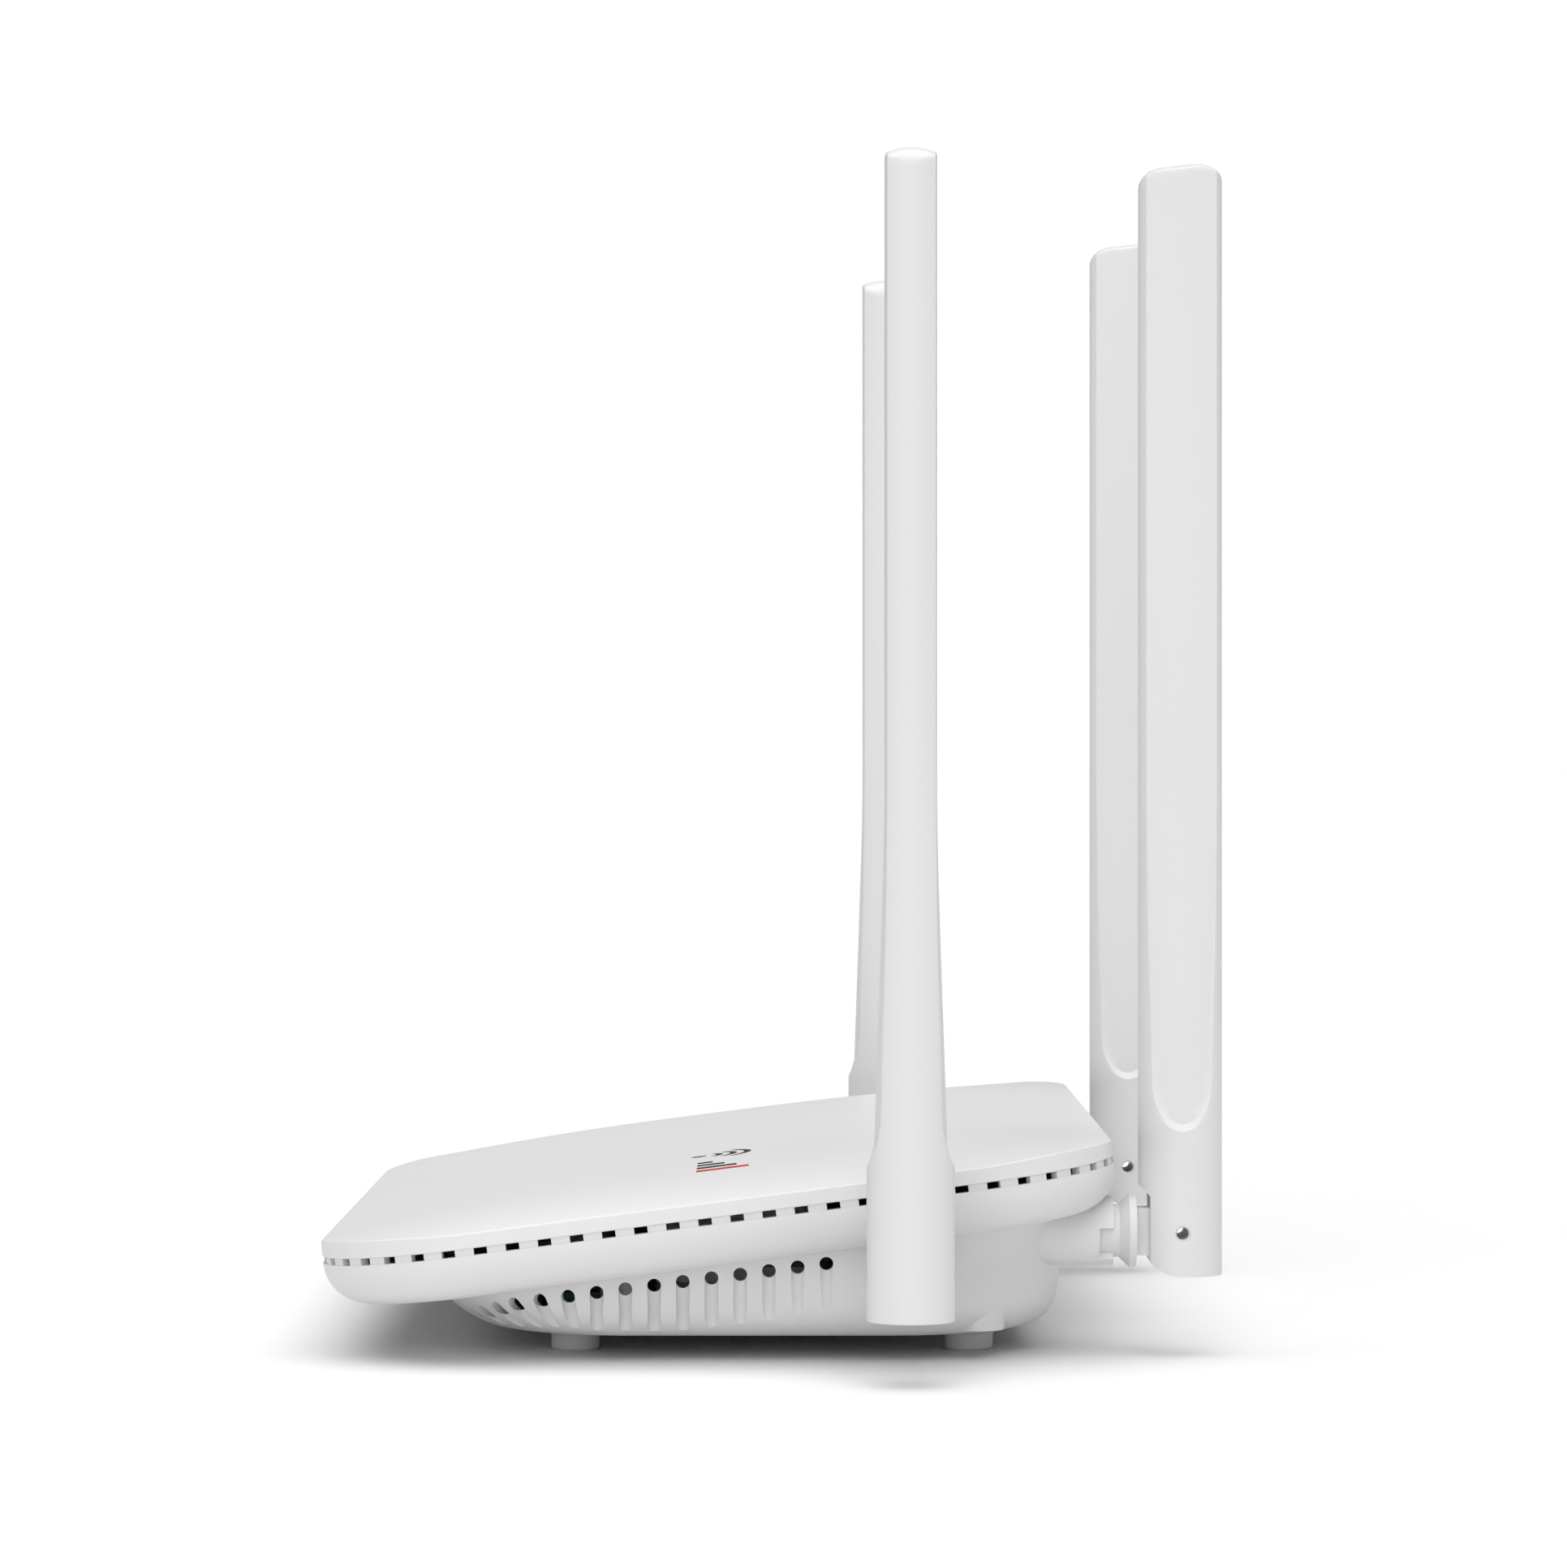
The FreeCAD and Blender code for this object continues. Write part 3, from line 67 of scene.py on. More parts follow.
# ---- shader maths -------------------------------------------------------------------------------
class Nodes:
    """Adds nodes to a tree: a type, its settings, then the values or links of its sockets."""

    def __init__(self, tree):
        self.tree = tree

    def add(self, kind, settings=None, sockets=None):
        node = self.tree.nodes.new(kind)
        for key, value in (settings or {}).items():
            if key == "stops":
                self.set_stops(node.color_ramp, value)
            else:
                setattr(node, key, value)
        for key, value in (sockets or {}).items():
            if isinstance(value, Value):
                self.tree.links.new(value.socket, node.inputs[key])
            else:
                node.inputs[key].default_value = value
        return node

    def out(self, kind, settings=None, sockets=None, output=0):
        return Value(self, self.add(kind, settings, sockets).outputs[output])

    @staticmethod
    def set_stops(ramp, stops):
        while len(ramp.elements) < len(stops):
            ramp.elements.new(0.5)
        for element, (position, colour) in zip(ramp.elements, stops):
            element.position = position
            element.color = colour


class Value:
    """A socket that takes Python's arithmetic and adds Math nodes for it."""

    def __init__(self, nodes, socket):
        self.nodes = nodes
        self.socket = socket

    def math(self, operation, *terms):
        return self.nodes.out("ShaderNodeMath", {"operation": operation}, dict(enumerate(terms)))

    def __add__(self, other):
        return self.math("ADD", self, other)

    def __radd__(self, other):
        return self.math("ADD", other, self)

    def __sub__(self, other):
        return self.math("SUBTRACT", self, other)

    def __rsub__(self, other):
        return self.math("SUBTRACT", other, self)

    def __mul__(self, other):
        return self.math("MULTIPLY", self, other)

    def __rmul__(self, other):
        return self.math("MULTIPLY", other, self)

    def __truediv__(self, other):
        return self.math("DIVIDE", self, other)

    def __pow__(self, other):
        return self.math("POWER", self, other)

    def __lt__(self, other):
        return self.math("LESS_THAN", self, other)

    def __gt__(self, other):
        return self.math("GREATER_THAN", self, other)

    def __abs__(self):
        return self.math("ABSOLUTE", self)

    def __or__(self, other):
        return self.math("MAXIMUM", self, other)

    def fraction(self):
        return self.math("FRACT", self)

    def between(self, low, high):
        return (self > low) * (self < high)


def new_material(name):
    material = bpy.data.materials.new(name)
    material.use_nodes = True
    material.node_tree.nodes.clear()
    return material, Nodes(material.node_tree)


def finish_material(maker, sockets):
    shader = maker.add("ShaderNodeBsdfPrincipled", None, sockets)
    output = maker.add("ShaderNodeOutputMaterial")
    maker.tree.links.new(shader.outputs["BSDF"], output.inputs["Surface"])
    return shader


def object_place(maker):
    return maker.out("ShaderNodeTexCoord", output=3)


def noise(maker, place, scale, detail=2.0):
    sockets = {"Vector": place, "Scale": scale, "Detail": detail}
    return maker.out("ShaderNodeTexNoise", None, sockets)


def mixed(maker, share, first, second):
    sockets = {0: share, 6: first, 7: second}
    return maker.out("ShaderNodeMix", {"data_type": "RGBA"}, sockets, output=2)


def bumped(maker, height, strength, distance):
    sockets = {"Height": height, "Strength": strength, "Distance": distance}
    return maker.out("ShaderNodeBump", None, sockets)


def rgba(colour, gain=1.0):
    return (colour[0] * gain, colour[1] * gain, colour[2] * gain, 1.0)


# ---- finishes ------------------------------------------------------------------------------------
def moulded_plastic(name, colour, roughness, grain_scale=2600.0, grain_depth=0.000012, mark=None):
    """Satin moulded plastic: a fine spark-eroded grain, and faint drifts of tone and gloss."""
    material, maker = new_material(name)
    place = object_place(maker)
    drift = noise(maker, place, 14.0, 3.0)
    grain = noise(maker, place, grain_scale, 2.0)
    specks = noise(maker, place, 420.0, 1.0)
    tone = mixed(maker, drift, rgba(colour, 0.985), rgba(colour, 1.012))
    if mark:
        tone = mark(maker, place, tone)
    gloss = roughness - 0.035 + 0.05 * drift + 0.03 * specks
    finish_material(maker, {
        "Base Color": tone,
        "Roughness": gloss,
        "IOR": 1.46,
        "Normal": bumped(maker, grain, 0.5, grain_depth),
    })
    return material


def soft_rubber(name, colour):
    material, maker = new_material(name)
    place = object_place(maker)
    dust = noise(maker, place, 900.0, 4.0)
    finish_material(maker, {
        "Base Color": mixed(maker, dust, rgba(colour, 0.94), rgba(colour, 1.02)),
        "Roughness": 0.62 + 0.12 * dust,
        "Normal": bumped(maker, dust, 0.6, 0.00003),
    })
    return material


def brushed_metal(name, colour, roughness, lines=(1.0, 40.0, 1.0)):
    """Metal with fine lines drawn along one direction."""
    material, maker = new_material(name)
    place = object_place(maker)
    stretched = maker.out("ShaderNodeMapping", {"vector_type": "POINT"}, {"Vector": place, "Scale": lines})
    scratch = noise(maker, stretched, 600.0, 3.0)
    finish_material(maker, {
        "Base Color": mixed(maker, scratch, rgba(colour, 0.86), rgba(colour, 1.05)),
        "Metallic": 1.0,
        "Roughness": roughness - 0.06 + 0.14 * scratch,
        "Normal": bumped(maker, scratch, 0.35, 0.00001),
    })
    return material


def clear_plastic(name, colour):
    material, maker = new_material(name)
    place = object_place(maker)
    haze = noise(maker, place, 500.0, 2.0)
    finish_material(maker, {
        "Base Color": mixed(maker, haze, rgba(colour, 0.95), rgba(colour, 1.0)),
        "Roughness": 0.08 + 0.1 * haze,
        "Transmission Weight": 0.6,
        "IOR": 1.49,
    })
    return material


def solder_mask(name, colour):
    """Green mask over copper: tracks show as paler lines, pads as tinned dots."""
    material, maker = new_material(name)
    place = object_place(maker)
    axes = maker.add("ShaderNodeSeparateXYZ", None, {"Vector": place})
    across, along = Value(maker, axes.outputs[0]), Value(maker, axes.outputs[1])
    cells = maker.out("ShaderNodeTexVoronoi", {"distance": "CHEBYCHEV"}, {"Vector": place, "Scale": 95.0})
    wave = abs((across * 420.0 + cells * 3.0).fraction() - 0.5)
    tracks = (wave < 0.16) * (cells > 0.22)
    pads = maker.out("ShaderNodeTexVoronoi", None, {"Vector": place, "Scale": 260.0}) < 0.13
    mask = mixed(maker, tracks, rgba(colour), rgba((colour[0] + 0.03, colour[1] * 1.45, colour[2] + 0.03)))
    finish_material(maker, {
        "Base Color": mixed(maker, pads, mask, (0.62, 0.62, 0.58, 1.0)),
        "Metallic": pads * 0.9,
        "Roughness": 0.34 - 0.08 * tracks,
        "Normal": bumped(maker, tracks, 0.5, 0.00004),
    })
    return material


def chip_package(name, colour):
    material, maker = new_material(name)
    place = object_place(maker)
    grit = noise(maker, place, 1800.0, 3.0)
    finish_material(maker, {
        "Base Color": mixed(maker, grit, rgba(colour, 0.8), rgba(colour, 1.25)),
        "Roughness": 0.5 + 0.2 * grit,
        "Normal": bumped(maker, grit, 0.5, 0.00002),
    })
    return material


def signal_sign(maker, place, tone):
    """A printed sign of arcs over a dot, with rising bars beside it, the tallest one red."""
    look = bpy.context.scene.extender_cover
    axes = maker.add("ShaderNodeSeparateXYZ", None, {"Vector": place})
    across = Value(maker, axes.outputs[0]) - look.sign_x
    along = (Value(maker, axes.outputs[1]) - look.sign_y) / math.cos(look.tilt)
    above = Value(maker, axes.outputs[2]) > (COVER_LOW.z + COVER_HIGH.z) / 2 - look.rise
    size = look.sign_size
    x = across + 1.45 * size
    y = along + 0.5 * size
    radius = (x * x + y * y) ** 0.5
    upward = y > abs(x) * 0.9
    arcs = (radius < 0.16 * size)
    for ring in (0.42, 0.7, 0.98):
        arcs = arcs | radius.between((ring - 0.07) * size, (ring + 0.07) * size) * upward
    dark, red = arcs, None
    for index in range(4):
        start = (0.1 + 0.55 * index) * size
        tall = (0.3 + 0.24 * index) * size
        bar = across.between(start, start + 0.34 * size) * along.between(-0.5 * size, tall - 0.5 * size)
        if index < 3:
            dark = dark | bar
        else:
            red = bar
    printed = mixed(maker, dark * above, tone, rgba(look.sign_dark))
    return mixed(maker, red * above, printed, rgba(look.sign_red))


MATERIALS = {}


def make_finishes():
    look = bpy.context.scene.extender_plastic
    gloss = look.roughness

    def white(tone):
        return tuple(channel * tone for channel in look.colour)

    MATERIALS.update({
        "cover_white": moulded_plastic("cover_plastic", white(1.0), gloss, mark=signal_sign),
        "case_white": moulded_plastic("case_plastic", white(0.985), gloss),
        "aerial_white": moulded_plastic("aerial_plastic", white(0.985), gloss + 0.02),
        "knuckle_white": moulded_plastic("knuckle_plastic", white(0.965), gloss - 0.04),
        "button_white": moulded_plastic("button_plastic", white(0.97), gloss - 0.08),
        "foot_rubber": soft_rubber("foot_rubber", white(0.93)),
        "spring_steel": brushed_metal("spring_steel", (0.56, 0.56, 0.57), 0.3),
        "steel_screw": brushed_metal("screw_steel", (0.62, 0.62, 0.62), 0.34, (1.0, 1.0, 30.0)),
        "sink_aluminium": brushed_metal("sink_aluminium", (0.72, 0.73, 0.74), 0.38),
        "can_steel": brushed_metal("can_steel", (0.7, 0.7, 0.68), 0.3, (30.0, 1.0, 1.0)),
        "capacitor_can": brushed_metal("capacitor_can", (0.6, 0.61, 0.63), 0.28, (1.0, 1.0, 30.0)),
        "board_green": solder_mask("board_mask", (0.03, 0.2, 0.08)),
        "radiator_board": solder_mask("radiator_mask", (0.05, 0.24, 0.12)),
        "jack_black": moulded_plastic("socket_plastic", (0.03, 0.03, 0.032), 0.42, 1800.0),
        "switch_black": moulded_plastic("switch_plastic", (0.045, 0.045, 0.045), 0.45, 1800.0),
        "chip_black": chip_package("chip_package", (0.04, 0.04, 0.043)),
        "pad_grey": soft_rubber("thermal_pad", (0.45, 0.5, 0.58)),
        "coax_grey": moulded_plastic("coax_jacket", (0.16, 0.16, 0.165), 0.4, 1500.0),
        "guide_clear": clear_plastic("light_guide", (0.9, 0.93, 0.93)),
        "lamp_clear": clear_plastic("lamp_body", (0.8, 0.92, 0.8)),
    })


def slot_of(node):
    return next(part["material_slot"] for part in frame["record"]["subparts"] if part["node"] == node)


# ---- meshes ----------------------------------------------------------------------------------------
def linked(name, mesh):
    piece = bpy.data.objects.new(name, mesh)
    bpy.context.scene.collection.objects.link(piece)
    return piece


def smooth_by_angle(piece, degrees):
    piece.data.shade_smooth()
    piece.data.set_sharp_from_angle(angle=math.radians(degrees))


def dress(piece, body, node):
    """Gives a finished piece its place and the finish of the CAD node that it stands for, and hides that node."""
    slot = slot_of(node)
    piece.data.materials.clear()
    piece.data.materials.append(MATERIALS[slot])
    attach(piece, body)
    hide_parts(node)
    return piece


def merged_copy(name, node, weld=0.000002):
    """A copy of a CAD node with its loose triangles joined."""
    mesh = nodes[node].data.copy()
    mesh.name = name
    shape = bmesh.new()
    shape.from_mesh(mesh)
    bmesh.ops.remove_doubles(shape, verts=shape.verts, dist=weld)
    bmesh.ops.dissolve_degenerate(shape, edges=shape.edges, dist=weld / 4)
    shape.to_mesh(mesh)
    shape.free()
    if "custom_normal" in mesh.attributes:
        mesh.attributes.remove(mesh.attributes["custom_normal"])
    return linked(name, mesh)


def applied(piece):
    """Turns a piece with live modifiers into a plain mesh."""
    graph = bpy.context.evaluated_depsgraph_get()
    mesh = bpy.data.meshes.new_from_object(piece.evaluated_get(graph))
    piece.modifiers.clear()
    piece.data = mesh
    return piece


def grid_faces(shape, rings):
    """Joins closed rings of points of equal count with faces."""
    for lower, upper in zip(rings, rings[1:]):
        count = len(lower)
        for index in range(count):
            ahead = (index + 1) % count
            shape.faces.new((lower[index], lower[ahead], upper[ahead], upper[index]))


def ring_of(shape, points):
    return [shape.verts.new(point) for point in points]


# ---- top cover --------------------------------------------------------------------------------------
def cover_frame(look):
    """The cover's own frame: the plane of its lower edge, tilted up to the back."""
    middle = Vector((0.0, look.middle_y, look.middle_z))
    return Matrix.Translation(middle) @ Matrix.Rotation(look.tilt, 4, "X")


def outline_points(half_width, half_depth, corner, inset, count):
    """Evenly numbered points round a rectangle with round corners, drawn in by an amount."""
    radius = max(corner - inset, 0.0001)
    straight_x = half_width - corner
    straight_y = half_depth - corner
    reference_arc = corner * math.pi / 2
    total = 4 * (straight_x + straight_y + reference_arc)
    points = []
    for index in range(count):
        run = total * index / count
        quarter, rest = 0, run
        lengths = (straight_y * 2, reference_arc, straight_x * 2, reference_arc,
                   straight_y * 2, reference_arc, straight_x * 2, reference_arc)
        while rest >= lengths[quarter]:
            rest -= lengths[quarter]
            quarter += 1
        share = rest / lengths[quarter]
        side_x, side_y = half_width - inset, half_depth - inset
        spots = {
            0: (side_x, -straight_y + 2 * straight_y * share),
            2: (straight_x - 2 * straight_x * share, side_y),
            4: (-side_x, straight_y - 2 * straight_y * share),
            6: (-straight_x + 2 * straight_x * share, -side_y),
        }
        if quarter in spots:
            points.append(spots[quarter])
            continue
        turn = (quarter - 1) / 2 * math.pi / 2 + share * math.pi / 2
        centre = ((straight_x, straight_y), (-straight_x, straight_y),
                  (-straight_x, -straight_y), (straight_x, -straight_y))[(quarter - 1) // 2]
        points.append((centre[0] + radius * math.cos(turn), centre[1] + radius * math.sin(turn)))
    return points


def crown_height(look, half_depth, x, y):
    across = min(1.0, abs(x / look.half_width))
    along = min(1.0, abs(y / half_depth))
    return look.band + look.crown * (1 - across ** look.crown_across) * (1 - along ** look.crown_along)


class ExtenderCover(bpy.types.PropertyGroup):
    half_width: bpy.props.FloatProperty(name="Half width", description="Half of the cover's width",
                                        default=0.1, unit="LENGTH")
    depth: bpy.props.FloatProperty(name="Depth", description="Depth of the cover seen from above",
                                   default=0.134, unit="LENGTH")
    corner: bpy.props.FloatProperty(name="Corner", description="Radius of the corners seen from above",
                                    default=0.026, unit="LENGTH")
    band: bpy.props.FloatProperty(name="Band", description="Height of the upright band round the cover",
                                  default=0.00246, unit="LENGTH")
    crown: bpy.props.FloatProperty(name="Crown", description="Rise of the middle above the band",
                                   default=0.00357, unit="LENGTH")
    crown_across: bpy.props.FloatProperty(name="Crown across", default=8.0,
                                          description="How flat the crown is across, as a power")
    crown_along: bpy.props.FloatProperty(name="Crown along", default=2.7,
                                         description="How flat the crown is front to back, as a power")
    wall: bpy.props.FloatProperty(name="Wall", description="Wall of the cover", default=0.002, unit="LENGTH")
    edge: bpy.props.FloatProperty(name="Edge round", description="Radius of the top edge",
                                  default=0.00018, unit="LENGTH")
    draft: bpy.props.FloatProperty(name="Draft", description="Lean of the band",
                                   default=math.radians(3), subtype="ANGLE")
    tilt: bpy.props.FloatProperty(name="Tilt", description="Slope of the cover up to the back",
                                  default=math.atan2(0.01706, 0.134), subtype="ANGLE")
    middle_y: bpy.props.FloatProperty(name="Middle, Y", description="Middle of the cover, front to back",
                                      default=-0.0091, unit="LENGTH")
    middle_z: bpy.props.FloatProperty(name="Middle, Z", description="Height of the lower edge in the middle",
                                      default=0.02539, unit="LENGTH")
    rise: bpy.props.FloatProperty(name="Sign rise", description="How far below the middle the print can lie",
                                  default=0.004, unit="LENGTH")
    sign_x: bpy.props.FloatProperty(name="Sign X", description="Middle of the printed sign", default=0.055,
                                    unit="LENGTH")
    sign_y: bpy.props.FloatProperty(name="Sign Y", description="Middle of the printed sign", default=-0.0085,
                                    unit="LENGTH")
    sign_size: bpy.props.FloatProperty(name="Sign size", description="Height of the printed arcs",
                                       default=0.0088, unit="LENGTH")
    sign_dark: bpy.props.FloatVectorProperty(name="Sign dark", description="Main ink", subtype="COLOR",
                                             default=(0.012, 0.012, 0.014))
    sign_red: bpy.props.FloatVectorProperty(name="Sign red", description="Accent ink", subtype="COLOR",
                                            default=(0.6, 0.02, 0.015))


class EXTENDER_OT_top_cover(bpy.types.Operator):
    """Builds the pillow-shaped top cover with its upright band and rounded edge"""
    bl_idname = "extender.top_cover"
    bl_label = "Top cover"
    POINTS = 360

    def execute(self, context):
        look = context.scene.extender_cover
        half_depth = look.depth / math.cos(look.tilt) / 2
        lean = math.tan(look.draft)
        shape = bmesh.new()

        def ring(inset, z=None, over=0.0):
            points = []
            for x, y in outline_points(look.half_width, half_depth, look.corner, inset, self.POINTS):
                height = crown_height(look, half_depth, x, y) + over if z is None else z
                points.append((x, y, height))
            return ring_of(shape, points)

        rings = [ring(look.wall, 0.0), ring(0.00015, 0.0), ring(0.0, 0.00015)]
        rings.append(ring(lean * look.band * 0.75, look.band * 0.75 - 0.0001))
        steps = 5
        side = lean * look.band
        for step in range(steps + 1):
            turn = math.pi / 2 * step / steps
            inset = side + look.edge * (1 - math.cos(turn))
            rings.append(ring(inset, over=-look.edge * (1 - math.sin(turn))))
        for inset in (0.0011, 0.0018, 0.003, 0.005, 0.008, 0.012, 0.017, 0.0225, 0.0255):
            rings.append(ring(side + inset))
        grid_faces(shape, rings)
        self.fill_middle(shape, look, half_depth, rings[-1])
        inner = [rings[0]]
        inner.append(ring(look.wall, look.band - look.wall * 0.2))
        for inset in (0.004, 0.008, 0.015, 0.0255):
            inner.append(ring(look.wall + inset * 0.92, over=-look.wall))
        grid_faces(shape, [list(reversed(line)) for line in inner])
        self.fill_middle(shape, look, half_depth, inner[-1], down=look.wall)
        bmesh.ops.transform(shape, matrix=cover_frame(look), verts=shape.verts)
        mesh = bpy.data.meshes.new("cover_shell")
        shape.to_mesh(mesh)
        shape.free()
        piece = linked("cover_shell", mesh)
        smooth_by_angle(piece, 40)
        dress(piece, "case", "top_cover")
        return {"FINISHED"}

    def fill_middle(self, shape, look, half_depth, border, down=0.0):
        """Rings drawn in towards the middle line, closed by a fan."""
        spots = [Vector((v.co.x, v.co.y)) for v in border]
        previous = border
        for share in (0.9, 0.78, 0.64, 0.5, 0.36, 0.23, 0.12, 0.05):
            points = []
            for spot in spots:
                x, y = spot.x * share, spot.y * share
                points.append((x, y, crown_height(look, half_depth, x, y) - down))
            current = ring_of(shape, points)
            pair = [previous, current]
            grid_faces(shape, pair if not down else [list(reversed(line)) for line in pair])
            previous = current
        hub = shape.verts.new((0.0, 0.0, crown_height(look, half_depth, 0.0, 0.0) - down))
        count = len(previous)
        for index in range(count):
            ends = (previous[index], previous[(index + 1) % count])
            shape.faces.new((*ends, hub) if not down else (*reversed(ends), hub))


# ---- bottom case, knuckles and feet --------------------------------------------------------------------
class EXTENDER_OT_bottom_case(bpy.types.Operator):
    """Joins and smooths the bottom case with its slotted strip, vents and collars"""
    bl_idname = "extender.bottom_case"
    bl_label = "Bottom case"

    def execute(self, context):
        piece = merged_copy("case_shell", "bottom_case")
        smooth_by_angle(piece, context.scene.extender_plastic.sharp_angle)
        dress(piece, "case", "bottom_case")
        return {"FINISHED"}


class EXTENDER_OT_small_mouldings(bpy.types.Operator):
    """Joins and smooths the knuckles, feet, buttons and hinge pins"""
    bl_idname = "extender.small_mouldings"
    bl_label = "Knuckles, feet, buttons and pins"

    def execute(self, context):
        angle = context.scene.extender_plastic.sharp_angle
        bodies = frame["record"]["behaviour"]["bodies"]
        kinds = ("knuckle_", "foot_", "hinge_pin_", "power_button", "pair_button")
        for body, members in bodies.items():
            for node in members:
                if node.startswith(kinds):
                    piece = merged_copy(f"{node}_finished", node)
                    smooth_by_angle(piece, angle)
                    dress(piece, body, node)
        return {"FINISHED"}


class EXTENDER_OT_inner_finishes(bpy.types.Operator):
    """Gives every carried-over piece inside the case its own finish"""
    bl_idname = "extender.inner_finishes"
    bl_label = "Inner finishes"

    def execute(self, context):
        for name, node in nodes.items():
            if node.hide_render:
                continue
            node.data.materials.clear()
            node.data.materials.append(MATERIALS[slot_of(name)])
        return {"FINISHED"}


# ---- aerials --------------------------------------------------------------------------------------------
class ExtenderAerial(bpy.types.PropertyGroup):
    radius: bpy.props.FloatProperty(name="Radius", description="Half of an aerial's width",
                                    default=(AERIAL_HIGH.y - AERIAL_LOW.y) / 2, unit="LENGTH")
    shoulder: bpy.props.FloatProperty(name="Shoulder", default=0.0172, unit="LENGTH",
                                      description="Bottom of the blade's outline above the pin")
    arch: bpy.props.FloatProperty(name="Arch", description="Height of the rounded end of the blade's outline",
                                  default=0.0084, unit="LENGTH")
    arch_width: bpy.props.FloatProperty(name="Arch width", default=0.0054, unit="LENGTH",
                                        description="Half width of the blade's outline there")
    bevel: bpy.props.FloatProperty(name="Bevel", description="Width of the bevel round the blade's root",
                                   default=0.0012, unit="LENGTH")
    even: bpy.props.FloatProperty(name="Even from", description="Where the blade stops getting thinner",
                                  default=0.076, unit="LENGTH")
    root: bpy.props.FloatProperty(name="Root", description="Half thickness at the blade's root",
                                  default=0.0059, unit="LENGTH")
    middle: bpy.props.FloatProperty(name="Middle", description="Half thickness of the blade's middle",
                                    default=0.00422, unit="LENGTH")
    edge: bpy.props.FloatProperty(name="Edge", description="Half thickness of the blade's edge",
                                  default=0.00383, unit="LENGTH")
    top_round: bpy.props.FloatProperty(name="Top round", description="Rounding of the blade's top edge",
                                       default=0.0003, unit="LENGTH")


